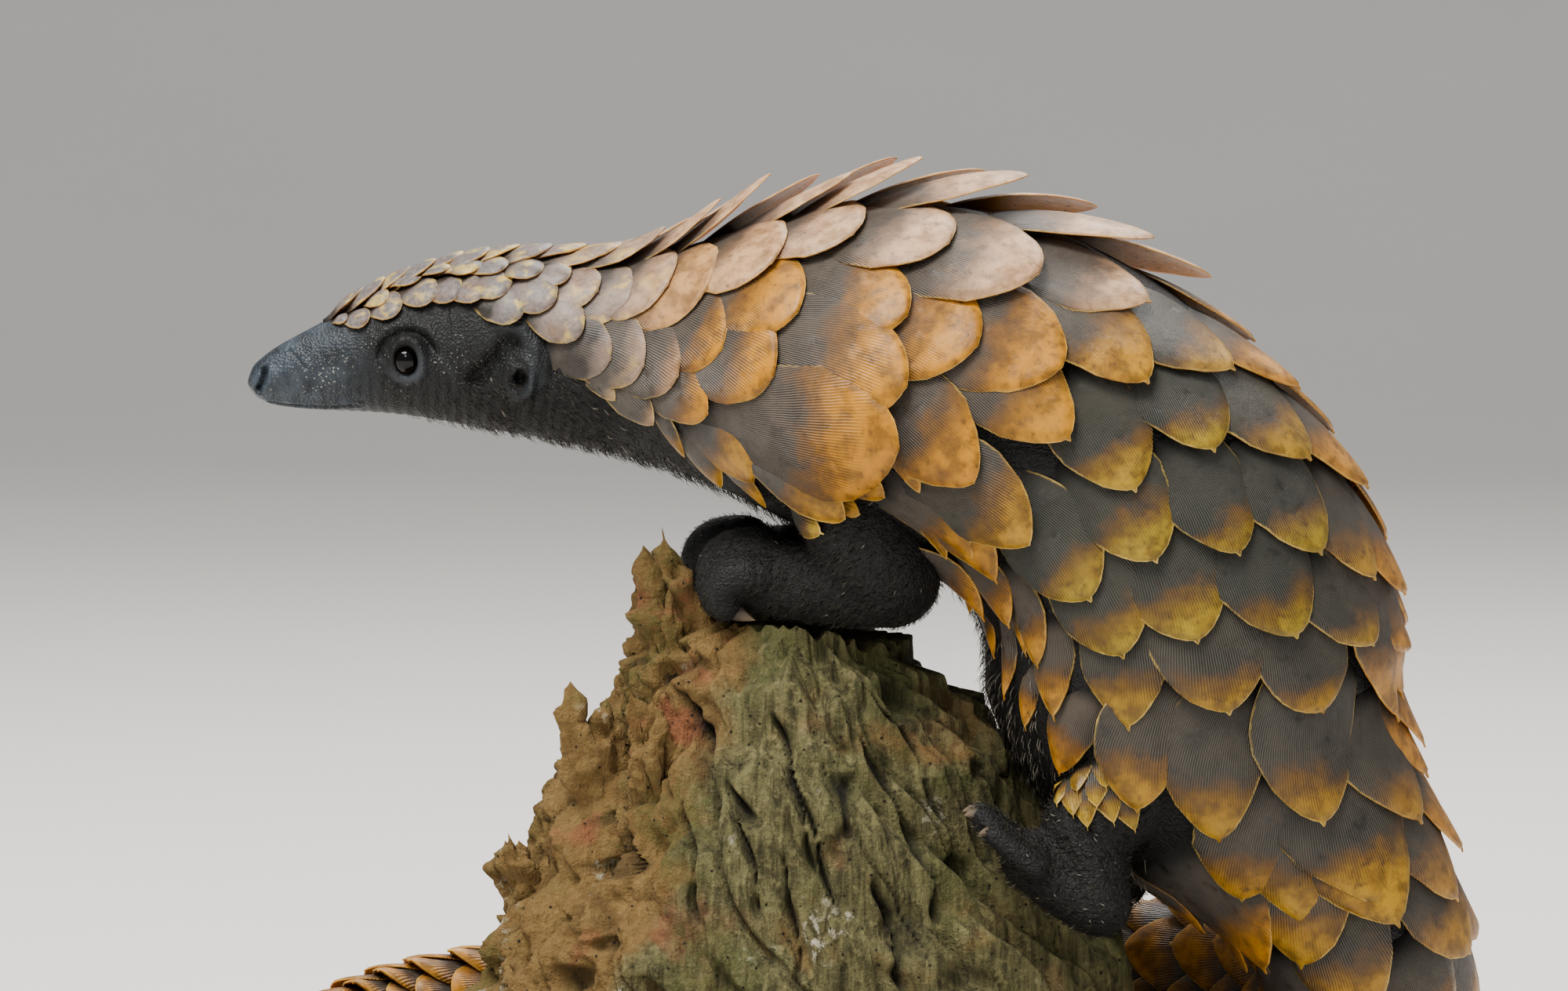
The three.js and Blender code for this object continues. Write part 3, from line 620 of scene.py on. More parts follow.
# The two rows over the back: turn round the body, then how far along it and how high each tip is
BACK_ROWS = {
    9: ((92, 4.5), (105, 7), (120, 10), (132, 13), (150, 9.5), (164, 13), (184, 12.5), (206, 10.5)),
    -15: ((98, 5.5), (112, 8), (126, 10.5), (142, 11), (158, 13.5), (176, 11.5), (196, 11), (217, 10.5)),
}
# Rows of the trunk: turn round the body, and how far each row's first scale lies back, in steps
TRUNK_ROWS = [
    (-152, 0.3), (-134, 0.75), (-111, 0.2), (-87, 0.6), (-63, 0.1), (-39, 0.55), (-15, 0.0), (9, 0.5),
    (33, 0.03), (59, 0.46), (84, 0.15), (108, 0.0), (132, 0.62), (151, 0.05),
]
TRUNK_STEP = 19.5
TRUNK_START = 112.0
LAST_SEEN = 380  # the tables of pixels reach no further along the body
# Scales of the flank, the root of the tail and the edge of the thigh, as for the shoulder
FLANK_SCALES = [
    (1391, 762, 60, 118, 170, 0.4), (1475, 712, 66, 116, 170, 0.4), (1578, 704, 70, 118, 170, 0.4),
    (1680, 706, 70, 124, 170, 0.4), (1748, 736, 60, 120, 165, 0.5), (1434, 834, 70, 120, 170, 0.4),
    (1527, 817, 76, 116, 170, 0.3), (1650, 811, 73, 136, 180, 0.4), (1746, 823, 64, 134, 175, 0.45),
    (1341, 912, 80, 58, 120, 0.6), (1440, 924, 80, 112, 170, 0.45), (1568, 906, 76, 134, 180, 0.35),
    (1684, 908, 76, 132, 185, 0.35), (1776, 916, 70, 140, 185, 0.45), (1354, 985, 86, 74, 130, 0.6),
    (1460, 1027, 80, 102, 180, 0.45), (1557, 1066, 78, 118, 210, 0.4), (1685, 1050, 80, 140, 215, 0.35),
    (1804, 1050, 72, 150, 200, 0.4), (1588, 1142, 84, 118, 180, 0.4), (1752, 1150, 78, 168, 200, 0.45),
    (1850, 1146, 70, 140, 190, 0.45), (1664, 1226, 84, 136, 190, 0.4), (1286, 797, 68, 60, 125, 0.6),
    (1262, 840, 70, 32, 100, 0.7), (1322, 848, 78, 50, 125, 0.6), (1303, 836, 74, 28, 90, 0.7),
    (1277, 888, 82, 34, 110, 0.7), (1302, 926, 84, 34, 100, 0.6), (1232, 785, 72, 30, 100, 0.7),
]
FLANK_AREA = (1180, 668, 1172)  # the least x, and the least and greatest y of its tips
# Scales on the front of the upper arm and on the thigh
LIMB_SCALES = {
    "foreleg": [(1044, 682, 20, 42, 90, 0.4)],
    "hindleg": [
        (1333, 1040, 96, 34, 76, 0.8), (1364, 1042, 86, 38, 84, 0.8), (1399, 1028, 86, 44, 84, 0.8),
        (1382, 1060, 86, 36, 76, 0.8), (1422, 1050, 80, 42, 84, 0.75), (1341, 1000, 90, 36, 76, 0.8),
        (1450, 1060, 80, 42, 90, 0.7), (1372, 1006, 86, 44, 84, 0.75), (1410, 1002, 84, 46, 84, 0.7),
        (1440, 1014, 80, 46, 84, 0.7),
    ],
}
# Scales of the head, as for the shoulder, and the tips of those along its crown
HEAD_SCALES = [
    (438, 404, 36, 18, 28, 0.0), (465, 409, 42, 32, 40, 0.0), (505, 397, 42, 40, 50, 0.0),
    (549, 381, 44, 46, 62, 0.0), (583, 376, 42, 44, 56, 0.0), (614, 376, 40, 46, 56, 0.0),
    (645, 371, 42, 52, 66, 0.0), (664, 402, 36, 50, 66, 0.05), (706, 386, 36, 60, 76, 0.05),
    (490, 381, 36, 30, 44, 0.0), (530, 357, 36, 40, 54, 0.0), (569, 342, 34, 42, 56, 0.0),
    (607, 342, 36, 46, 58, 0.0), (641, 342, 36, 46, 58, 0.0), (688, 347, 32, 50, 64, 0.0),
    (722, 355, 38, 48, 62, 0.0), (740, 427, 38, 58, 76, 0.1),
]
CROWN_TIPS = (33.5, 39, 45, 51, 57, 63, 69.5, 77, 85, 94)
TAIL_ROWS = [0, 36, 70, 100, 138, 180]  # turns round the tail on each side

WIDEST = 0.46  # where along its length a scale is widest
SPREAD = 0.86  # how closely the columns of a scale crowd towards its sides


def scale_outline(u, sharp):
    """Half width at u of the length, as a share of the widest: a rounded shield or a pointed one."""
    t = np.clip((u - WIDEST) / (1 - WIDEST), 0, 1)
    before = np.clip((WIDEST - u) / WIDEST, 0, 1)
    tip = (1 - sharp) * np.sqrt(1 - t**2) + sharp * (1 - t**1.5)
    return (1 - 0.3 * before**2) * tip, t


def scale_rows(count):
    """Places along a scale, closer together towards its tip."""
    flat = count // 2
    curve = np.sin(np.linspace(0, math.pi / 2, count - flat + 1))[:-1]
    outer = WIDEST + (1 - WIDEST) * curve
    return np.concatenate([np.linspace(0, WIDEST, flat, endpoint=False), outer, [0.998, 1.0]])


def scale_width(item, u, w, wave):
    """Half width along a scale with chipped edges, as a share of the widest."""
    width, t = scale_outline(u, item["sharp"])
    chips = 0.022 * np.sin(9 * t + wave[0] + 2 * np.sign(w))
    chips = chips + 0.014 * np.sin(21 * t + wave[1] + 3 * np.sign(w))
    return np.maximum(width * (1 + chips), 0.012)


def scale_places(tube, item, u, across, side):
    """v and phi of a scale's points, measured on the skin near its middle."""
    turn = np.radians(item["turn"])
    back = item["length"] * (1 - u) - np.where(u >= 1, item["spike"], 0)
    per_v, per_phi = tube.scale_of(item["v"], item["phi"])
    mid_v = item["v"] - 0.4 * item["length"] * np.cos(turn) / per_v
    mid_phi = item["phi"] - 0.4 * item["length"] * side * np.sin(turn) / per_phi
    per_v, per_phi = tube.scale_of(mid_v, mid_phi)
    v = item["v"] - (back * np.cos(turn) + across * side * np.sin(turn)) / per_v
    phi = item["phi"] + (across * np.cos(turn) - back * side * np.sin(turn)) / per_phi
    return v, phi


def scale_rise(item, u, share, side):
    """Height over the skin: lifted and bent along the scale, rolled and drooping across it."""
    rise = item["sink"] * -1 + item["length"] * item["lift"] * (u - item["bend"] * u**2)
    rise = rise + item["roll"] * share * side * smooth(u, 0.2, 0.8)
    rise = rise - item["droop"] * share**2 * u + item["layer"] * smooth(u, 0.1, 0.6)
    return rise + item["cover_root"] * (1 - u) + item["cover_tip"] * u + item["cover_side"] * share


def scale_sheets(tube, items, rows, columns, seed):
    """Points and point values of closed scales; items is a structured table, one row for each scale."""
    draw = np.random.default_rng(seed)
    item = {name: items[name][:, None, None] for name in USUAL}
    one_each = (len(items), 1, 1)
    wave = [draw.uniform(0, TAU, one_each) for _ in range(3)]
    u = scale_rows(rows)[None, :, None]
    w = np.sin(np.linspace(-1, 1, columns) * math.pi / 2 * SPREAD) / math.sin(math.pi / 2 * SPREAD)
    w = w[None, None, :]
    side = np.where(item["phi"] < 0, -1.0, 1.0)
    width = scale_width(item, u, w, wave)
    across = w * width * item["half"]
    share = across / item["half"]
    v, phi = scale_places(tube, item, u, across, side)
    rise = scale_rise(item, u, share, side)
    keel = item["keel"] * np.clip(1 - np.abs(share) * 1.6, 0, 1) * smooth(u, 0.45, 1.0)
    to_tip = (1 - u) * item["length"] * 0.8 + (1 - np.abs(w)) * width * item["half"]
    edge = np.clip(np.minimum((width - np.abs(share)) * item["half"], to_tip), 0, 30)
    thick = item["thick"] * (0.4 + 0.6 * smooth(edge, 0.0, 2.2))
    warp = 0.35 * np.sin(3.1 * u + wave[2]) * share
    top = tube.skin(v, phi, rise + keel + warp + thick)
    low = tube.skin(v, phi, rise + keel * 0.8 + warp)
    full = (len(items), u.shape[1], columns)
    place = np.stack([np.broadcast_to(a, full) for a in (u, across, edge)], -1)
    dark = item["dark"] + draw.normal(0, 0.035, one_each)
    tone = np.stack([np.broadcast_to(a, full) for a in (item["amber"], item["olive"], dark)], -1)
    return np.stack([top, low], 1), np.stack([place, place], 1), np.stack([tone, tone], 1)


def scale_faces(rows, columns):
    """Faces of one closed scale: two skins and the wall round them."""
    size = rows * columns
    top = grid_faces(rows, columns)
    low = top[:, ::-1] + size
    left = np.arange(rows) * columns
    right = left + columns - 1
    near = np.arange(columns)
    far = near + (rows - 1) * columns
    rim = np.concatenate([left, far[1:], right[::-1][1:], near[::-1][1:-1]])
    nxt = np.roll(rim, -1)
    wall = np.stack([rim, nxt, nxt + size, rim + size], -1)
    return np.concatenate([top, low, wall])


def scale_patches(count, rows, columns):
    """A patch of the bake's map for each scale, in the order of their places on the body."""
    cells = math.ceil(math.sqrt(count))
    k = np.arange(count)
    x0, y0 = (k % cells) / cells, (k // cells) / cells
    x = np.linspace(0.03, 0.60, columns)
    y = np.linspace(0.04, 0.96, rows)
    top = np.stack(np.broadcast_arrays(x[None, :], y[:, None]), -1)
    low = top * [0.55, 1.0] + [0.63, 0.0]
    both = np.stack([top, low])
    return (both[None] / cells + np.stack([x0, y0], -1)[:, None, None, None]).reshape(-1, 2)


COVER_REACH = 13.0  # how far out of the skin the rays start that find a limb's height

# What a scale is made of: its place and size in millimetres, how it turns, rises and bends, its outline,
# its colours, and how far it is lifted over a limb. These are the values where a row gives none.
USUAL = dict(
    v=0, phi=0, length=0, half=0, turn=0, lift=0.2, bend=0.18, sharp=0.2, spike=0.6, roll=0, droop=0.8,
    layer=0, sink=1.4, thick=0.9, keel=0.4, amber=0.5, olive=0, dark=0.6,
    cover_root=0, cover_tip=0, cover_side=0)


def as_items(rows):
    """A structured table of scales from dicts."""
    table = np.zeros(len(rows), dtype=[(name, float) for name in USUAL])
    for i, row in enumerate(rows):
        for name, value in USUAL.items():
            table[name][i] = row.get(name, value)
    return table


def cover_heights(tube, items, flesh):
    """How far the limbs stand above the trunk's skin under each scale's root, tip and sides."""
    for i, row in enumerate(items):
        turn, side = math.radians(row["turn"]), -1.0 if row["phi"] < 0 else 1.0
        per_v, per_phi = tube.scale_of(np.array(row["v"]), np.array(row["phi"]))

        def height(u, w):
            back, across = row["length"] * (1 - u), w * row["half"]
            v = row["v"] - (back * math.cos(turn) + across * side * math.sin(turn)) / per_v
            phi = row["phi"] + (across * math.cos(turn) - back * side * math.sin(turn)) / per_phi
            out = tube.outward(v, phi)
            start = tube.skin(v, phi) + out * COVER_REACH
            hit = flesh.ray_cast(Vector(start), Vector(-out), COVER_REACH)
            return 0.0 if hit[0] is None else COVER_REACH - hit[3]

        near, *far = [[height(u, w) for w in (-0.7, 0, 0.7)] for u in (0.25, 0.6, 1.0)]
        tip = np.mean(far)
        tilt = np.mean([line[2] - line[0] for line in far]) / 1.4
        items["cover_root"][i] = 0.8 * np.mean(near)
        items["cover_tip"][i] = tip + 0.3 * (tip > 1)
        items["cover_side"][i] = np.clip(tilt, -2.5, 2.5)


def make_scales(name, tube, rows, grid, seed, flesh=None):
    """One piece of many scales, each a closed plate of grid rows by columns, lifted over any flesh."""
    rows = sorted(rows, key=lambda r: (round(r["v"] / 12), r["phi"]))
    items = as_items(rows)
    if flesh is not None:
        cover_heights(tube, items, flesh)
    points, place, tone = scale_sheets(tube, items, *grid, seed)
    count, sheets, full_rows, columns = points.shape[:4]
    one = scale_faces(full_rows, columns)
    faces = (one[None] + np.arange(count)[:, None, None] * (sheets * full_rows * columns)).reshape(-1, 4)
    under = np.zeros((count, sheets, full_rows, columns))
    under[:, 1] = 1.0
    values = {"place": place.reshape(-1, 3), "tone": tone.reshape(-1, 3), "under": under.ravel()}
    patches = scale_patches(count, full_rows, columns)
    place_piece(make_mesh(name, points, faces, MATERIALS["scale"], values, patches), "scale")


def tint(v, phi):
    """The horn's amber and olive shares and how far the grey root reaches, by place on the body; the olive
    share also darkens the flank as painted shade.
    """
    a = abs(phi)
    flank = smooth(v, 205, 240) * (1 - smooth(v, 340, 420))
    amber = 0.12 + 0.8 * smooth(a, 40, 72) * smooth(v, 96, 130) + 0.3 * smooth(a, 100, 125)
    amber += 0.45 * flank * (1 - smooth(a, 45, 80)) - 0.8 * (1 - smooth(v, 98, 122))
    # The olive share is partly the flank's olive horn and partly painted shade over the flank.
    olive = 0.9 * flank * smooth(a, 12, 45) * (1 - smooth(a, 112, 140)) * (1 - 0.4 * smooth(v, 278, 296))
    olive += 0.3 * smooth(a, 112, 135) * (1 - smooth(v, 180, 230))
    neck = (1 - smooth(v, 104, 136)) * smooth(a, 40, 66)
    upper = smooth(v, 140, 180) * (1 - smooth(v, 200, 230)) * smooth(a, 18, 30) * (1 - smooth(a, 50, 75))
    dark = 0.42 + 0.22 * smooth(a, 45, 80) + 0.16 * neck + 0.1 * smooth(v, 205, 250)
    dark += 0.2 * flank * smooth(a, 10, 30) * (1 - smooth(a, 50, 85)) + 0.2 * upper
    dark -= 0.08 * smooth(a, 118, 140)
    return dict(amber=float(np.clip(amber, -1, 1)), olive=float(np.clip(olive, 0, 1)), dark=float(dark))


def turn_to(tube, v, phi, below):
    """The turn from the tube's length that points this many degrees below the horizontal in the view."""
    at = tube.skin(v, phi)
    along, round_ = unit(tube.skin(v + 1, phi) - at), unit(tube.skin(v, phi + 1) - at)
    flat = np.array([[along @ VIEW.right, round_ @ VIEW.right], [-along @ VIEW.up, -round_ @ VIEW.up]])
    aim = np.linalg.solve(flat, [math.cos(math.radians(below)), math.sin(math.radians(below))])
    turn = math.degrees(math.atan2(aim[1], aim[0])) * (-1 if phi < 0 else 1)
    return float(np.clip(turn, -30, 60) if tube is BODY else np.clip(turn, -85, 85))


def from_pixels(table, wider, longer, tube=BODY, first=20.0):
    """The photograph's scales as places on the body or a limb, by the nearest point of the near side."""
    around = np.arange(0 if tube is BODY else -180, 172, 0.5)
    v, phi = np.meshgrid(np.arange(first, min(tube.length, LAST_SEEN), 0.5), around, indexing="ij")
    v, phi = v.ravel(), phi.ravel()
    seen = tube.outward(v, phi) @ VIEW.back > 0
    pixels = np.where(seen[:, None], VIEW.pixel(tube.skin(v, phi, 3.0)), 1e6)
    rows = []
    for x, y, below, width, length, sharp in table:
        i = int(((pixels - (x, y)) ** 2).sum(1).argmin())
        rows.append(dict(
            v=v[i], phi=phi[i], turn=turn_to(tube, v[i], phi[i], below),
            half=width / PIXELS / 2 * wider, length=length / PIXELS * longer, sharp=sharp))
    return rows


def both_sides(rows):
    """The rows of the near side, each with its mirror image on the far side."""
    return [dict(row, phi=side * row["phi"]) for row in rows for side in (1, -1)]


def shoulder_rows():
    """The scales of the neck, shoulder and arm, the upper ones over the lower ones."""
    rows = []
    for base in from_pixels(SHOULDER_SCALES, 1.1, 1.12):
        large = smooth(base["length"], 12, 34)
        layer = 0.6 * smooth(base["phi"], 70, 100) + 1.1 * (1 - smooth(base["phi"], 45, 62))
        rows.append(dict(
            base, lift=0.17, bend=0.2, thick=0.6 + 0.4 * large, roll=0.5 * large, sink=1.2, layer=layer,
            keel=0.2, spike=0.3, **tint(base["v"], base["phi"])))
    return both_sides(rows)


def back_rows():
    """The raised scales along the back, tall enough that each tip has the photograph's height."""
    rows = []
    for phi, tips in BACK_ROWS.items():
        gaps = np.gradient(np.array([v for v, _ in tips], float))
        for (v, height), gap in zip(tips, gaps):
            size = gap * 1.9
            bend = 0.05 + 0.15 * smooth(v, 120, 200)
            rows.append(dict(
                v=v, phi=phi, length=size, half=size * 0.29, lift=(height + 0.5) / size / (1 - bend),
                bend=bend, sharp=0.25, thick=0.8, spike=0.4, droop=0.4, **tint(v, phi)))
    return rows


def in_table(v, phi):
    """Whether the tables of the shoulder or flank, or the back's rows, cover this place."""
    a = abs(phi)
    if a < 24:
        return v < 222
    if v > 230 and a < 160:
        x, y = VIEW.pixel(BODY.skin(v, a, 3.0))
        if x > FLANK_AREA[0] and FLANK_AREA[1] < y < FLANK_AREA[2]:
            return True
    if a < 100:
        return v < 199
    if a < 125:
        return v < 233
    return v < 216


def flank_rows():
    """The scales that the photograph shows on the flank and round the root of the tail."""
    rows = []
    for base in from_pixels(FLANK_SCALES, 1.1, 1.05):
        large = smooth(base["length"], 16, 30)
        base["turn"] *= smooth(base["phi"], 20, 60)
        rows.append(dict(
            base, lift=0.14 + 0.05 * large, bend=0.3, roll=0.5 + 0.4 * large, thick=0.6 + 0.35 * large,
            spike=1.1, keel=0.8, **tint(base["v"], base["phi"])))
    return both_sides(rows)


def trunk_rows():
    """The flank's scales, and rows worked out for the rest of the trunk."""
    rows = flank_rows()
    draw = np.random.default_rng(5)
    for line, lag in TRUNK_ROWS:
        a = abs(line)
        edge = smooth(a, 96, 145)
        back = 1 - smooth(a, 15, 45)
        for v in np.arange(TRUNK_START + TRUNK_STEP * lag, TAIL_START + 6, TRUNK_STEP):
            if in_table(v, line):
                continue
            size = draw.uniform(0.96, 1.05)
            flank = smooth(a, 30, 62) * (1 - smooth(a, 140, 165)) * smooth(v, 190, 225)
            below = float(np.interp(v, [205, 225, 250, 300, 345], [50, 60, 78, 86, 84]))
            first = 10 * smooth(a, 30, 60) * (1 - smooth(v, 222, 236))
            half = np.interp(a, [70, 108, 134, 151], [14, 11.8, 9.2, 7.2]) * size
            rows.append(dict(
                v=v + draw.uniform(-0.6, 0.6), phi=line + draw.uniform(-1.0, 1.0),
                length=(34 - 6 * edge + first) * size, half=half,
                turn=flank * turn_to(BODY, v, a, below), lift=0.19 + 0.03 * back - 0.03 * edge, bend=0.3,
                sharp=0.42 + 0.35 * edge, roll=0.9 * (1 - back), spike=1.1, thick=0.95, keel=0.8,
                **tint(v, line)))
    return rows


def limb_rows(tube, kind):
    """Small pointed scales over the top of a leg, placed on its near side in the photograph."""
    looks = dict(
        lift=0.16, bend=0.3, thick=0.6, sink=0.8, keel=0.7, spike=1.0, roll=0.3,
        amber=0.9, olive=0.8, dark=0.66)
    return [dict(base, **looks) for base in from_pixels(LIMB_SCALES[kind], 1.1, 1.0, tube, 0.5)]


def head_rows():
    """Pale small scales from the brow to the nape, and a row along the crown."""
    rows = []
    draw = np.random.default_rng(9)
    flat = dict(thick=0.9, keel=0.0, spike=0.0)
    for base in from_pixels(HEAD_SCALES, 1.12, 1.0):
        upper = 1 - float(smooth(base["phi"], 34, 52))
        rows.append(dict(
            base, lift=0.2, bend=0.35, sink=0.6, droop=0.6, roll=0.5, layer=0.6 + 0.7 * upper,
            **flat, **head_tint(base["v"], draw)))
    rows = both_sides(rows)
    for i, v in enumerate(CROWN_TIPS):
        size = float(np.interp(v, [24, 50, 92], [6.8, 9.0, 12.5]))
        rows.append(dict(
            v=v, phi=3.0 if i % 2 else -3.0, length=size * 1.6, half=size * 0.62, lift=0.16, bend=0.3,
            sharp=0.05, sink=0.4, droop=0.7, layer=1.9, **flat, **head_tint(v, draw)))
    return rows


def head_tint(v, draw):
    """A head scale's colours: chalky, with a short grey root."""
    return dict(amber=-1.0 + 0.3 * float(smooth(v, 70, 100)), olive=0.0, dark=draw.uniform(0.3, 0.46))


def tail_rows(v0, v1):
    """Scales round the tail from v0 to v1, in rings that are shifted against each other."""
    rows = []
    draw = np.random.default_rng(17)
    v, ring = TAIL_START - 14.0, 0
    while v < BODY.length + 3:
        step = float(np.interp(v, [TAIL_START, 500, BODY.length], [21, 16.5, 11]))
        for j, phi in enumerate(TAIL_ROWS):
            if (j + ring) % 2 or not v0 <= v < v1 or in_table(v, phi):
                continue
            rim = 1 - smooth(abs(phi - 100), 10, 30)
            _, per_phi = BODY.scale_of(np.array(v), np.array(float(phi)))
            looks = tint(v, phi)
            looks.update(amber=0.4 + looks["amber"] / 3, dark=0.62)
            for side in (1, -1) if 0 < phi < 180 else (1,):
                rows.append(dict(
                    v=v + draw.uniform(-0.5, 0.5), phi=side * phi, length=step * 1.85,
                    half=float(per_phi) * 27 + 1.5, lift=0.2, bend=0.15, sharp=0.5 + 0.2 * rim, spike=1.0,
                    thick=0.8, keel=0.6 + rim, sink=1.2, **looks))
        v += step / 2
        ring += 1
    return rows


# Skin

HEAD_COLUMNS = 240
BODY_COLUMNS = 120


def gap_to(points, centre):
    """Distance to a point."""
    return np.linalg.norm(points - centre, axis=-1)


def gap_to_line(points, line):
    """Distance to the nearest part of a chain of points."""
    best = np.full(points.shape[:-1], 1e9)
    for a, b in zip(line[:-1], line[1:]):
        ab = b - a
        t = np.clip(((points - a) @ ab) / (ab @ ab), 0, 1)
        best = np.minimum(best, np.linalg.norm(points - a - t[..., None] * ab, axis=-1))
    return best


def hump(gap, width, middle=0.0):
    """1 at the middle, falling to nothing over about twice the width on each side."""
    return np.exp(-(((gap - middle) / width) ** 2))


def towards(points, centre, aim):
    """From 1 for points that lie from the centre towards the aim to -1 for those on its other side."""
    off = points - centre
    return np.clip(off @ unit(np.array(aim, float)) / np.maximum(gap_to(points, centre), 0.5), -1, 1)


# Lines of the face, by place along the body and turn round it: the rim above the ear, the nostril, the
# mouth, the fold before the ear, the fold behind the lids, and where dry flakes lie, with their width
RIDGE = ((66, 74), (71, 79.5), (74.5, 89.5), (76, 102))
NOSTRIL = ((5.0, 60.5), (4.6, 77), (3.6, 93.5), (2.6, 113))
MOUTH = ((4.8, 157), (11.2, 153), (18, 152), (26, 148))
FOLD = ((59.5, 112), (62.5, 106), (65.5, 97), (69, 86))
LID_FOLD = ((50.6, 96), (53, 108))
SCURF = (
    (((15.5, 106), (20.5, 91), (25, 87.5)), 2.6), (((18, 110), (23, 114)), 1.6),
    (((48.5, 96), (50.5, 104)), 1.5), (((66, 121), (72, 123)), 1.5),
)


def side_line(pairs, side):
    """Points on the skin of one side."""
    return np.array([BODY.skin(v, side * phi) for v, phi in pairs])


def add_eye(relief, points, side):
    """Adds the lids, the fold above them and the socket."""
    eye = BODY.skin(EYE_V, side * EYE_PHI)
    d = gap_to(points, eye)
    above = towards(points, eye, (0, 0, 1))
    rear = towards(points, eye, (1, 0, 0))
    oval = d * (1 + 0.1 * rear**2 - 0.12 * above**2)
    relief += (1.55 + 0.8 * above + 0.35 * rear) * hump(oval, 1.3 + 0.4 * rear, 4.5 + 0.3 * rear)
    relief += 0.9 * hump(d, 10) - 3.4 * (1 - smooth(oval, 2.5, 3.4))
    relief -= 1.5 * hump(d, 0.9, 7.2) * smooth(above - 0.25 * rear, -0.2, 0.6)
    relief += 0.6 * hump(d, 1.4, 9.4) * smooth(above, 0.0, 0.7)
    relief += 0.13 * np.sin(13 * np.arctan2(above, rear) + 1.5 * d) * hump(d, 2.0, 6.2)
    relief -= 0.35 * hump(d, 0.6, 6.8) * smooth(-above - 0.5 * rear, 0.1, 0.9)


def add_ear(relief, points, side):
    """Adds the ear's rim, its hollow and the lobe before it."""
    ear = BODY.skin(EAR_V, side * EAR_PHI)
    d = gap_to(points, ear)
    rear = towards(points, ear, (1, 0, 0))
    under = towards(points, ear, (0, 0, -1))
    oval = d * (1 + 0.25 * rear**2 - 0.1 * under**2)
    relief += 1.0 * hump(d, 8) + (1.5 + 0.7 * rear + 0.7 * under) * hump(oval, 1.4, 4.4)
    relief -= 3.2 * (1 - smooth(oval, 0.6, 2.3))
    relief += (0.5 + 0.5 * rear) * hump(d, 0.5, 2.7)
    relief += 2.6 * hump(gap_to(points, BODY.skin(EAR_V - 1.1, side * (EAR_PHI - 4))), 1.3)


def add_face_lines(relief, points, side):
    """Adds the ridges and folds round the ear and eye, the nostril, the mouth and the snout's crease."""
    def gap(*pairs):
        return gap_to_line(points, side_line(pairs, side))

    relief -= 3.2 * hump(gap(*FOLD), 2.4)
    relief += 1.1 * hump(gap(*RIDGE), 1.7)
    relief -= 0.7 * hump(gap((75, 76), (79, 90), (80, 104)), 1.3)
    nostril = gap(*NOSTRIL)
    relief += 0.4 * hump(nostril, 0.6, 1.5) - 2.6 * hump(nostril, 0.7)
    mouth = gap(*MOUTH)
    relief += 0.3 * hump(mouth, 0.7, 1.2) - 0.8 * hump(mouth, 0.5)
    crease = gap((12.2, 41), (13.8, 61.5), (15.6, 82.5))
    relief += 0.2 * hump(crease, 0.5, 0.9) - 0.35 * hump(crease, 0.45)
    relief += 0.5 * hump(gap_to(points, BODY.skin(54, side * 104)), 6)
    relief -= 0.5 * hump(gap((48.5, 86), (50, 98), (52.4, 109)), 0.8)
    relief += 0.35 * hump(gap(*LID_FOLD), 0.8)


def face_relief(points, v, phi):
    """How far the face's skin stands above its plain form."""
    relief = np.zeros(points.shape[:-1])
    for side in (1, -1):
        add_eye(relief, points, side)
        add_ear(relief, points, side)
        add_face_lines(relief, points, side)
    creases = np.sin(v * 1.9 + 2.0 * np.sin(np.radians(phi) * 3) + 1.3 * np.sin(v * 0.23))
    relief += 0.10 * creases * smooth(v, 8, 30) * smooth(np.abs(phi), 30, 70)
    covered = (1 - smooth(np.abs(phi), 62, 74)) * smooth(v, 58, 66)
    return relief * (1 - covered)


def tube_points(tube, v, columns):
    """The places v and phi of a grid round a tube, and its points."""
    phi = np.linspace(0, 360, columns, endpoint=False)
    phi = np.where(phi > 180, phi - 360, phi)
    v, phi = np.meshgrid(v, phi, indexing="ij")
    return v, phi, tube.skin(v, phi)


def body_skin():
    """The trunk's skin from nose to tail, finer on the head."""
    fine = np.concatenate([[0.0, 0.1, 0.25, 0.45, 0.7, 1.0], np.arange(1.3, 92, 0.4)])
    coarse = np.arange(93.0, BODY.length, 2.6)
    v, phi, head = tube_points(BODY, fine, HEAD_COLUMNS)
    head = head + BODY.outward(v, phi) * (face_relief(head, v, phi) * smooth(v, -0.5, 1.0))[..., None]
    middle = BODY.frame(v)[0]
    head = middle + (head - middle) * (0.34 + 0.66 * (1 - np.clip(1 - v / 2.6, 0, 1) ** 2.4))[..., None]
    v, phi, rest = tube_points(BODY, coarse, BODY_COLUMNS)
    rest = rest - BODY.outward(v, phi) * 0.3
    points = np.concatenate([head.reshape(-1, 3), rest.reshape(-1, 3)])
    start = head[0].mean(0) - 0.3 * BODY.along[0]
    end = rest[-1].mean(0) + 2.0 * BODY.along[-1]
    first = len(fine) * HEAD_COLUMNS
    ring = first - HEAD_COLUMNS
    j = np.arange(BODY_COLUMNS)
    after = (j + 1) % BODY_COLUMNS
    seam = np.stack([ring + 2 * j + 1, ring + (2 * j + 2) % HEAD_COLUMNS, first + after, first + j], -1)
    quads = [
        grid_faces(len(fine), HEAD_COLUMNS, True), grid_faces(len(coarse), BODY_COLUMNS, True) + first, seam]
    tris = [
        np.stack([ring + 2 * j, ring + 2 * j + 1, first + j], -1),
        fan(0, HEAD_COLUMNS, len(points), flip=True),
        fan(len(points) - BODY_COLUMNS, BODY_COLUMNS, len(points) + 1),
    ]
    return np.concatenate([points, [start, end]]), np.concatenate(quads), np.concatenate(tris)


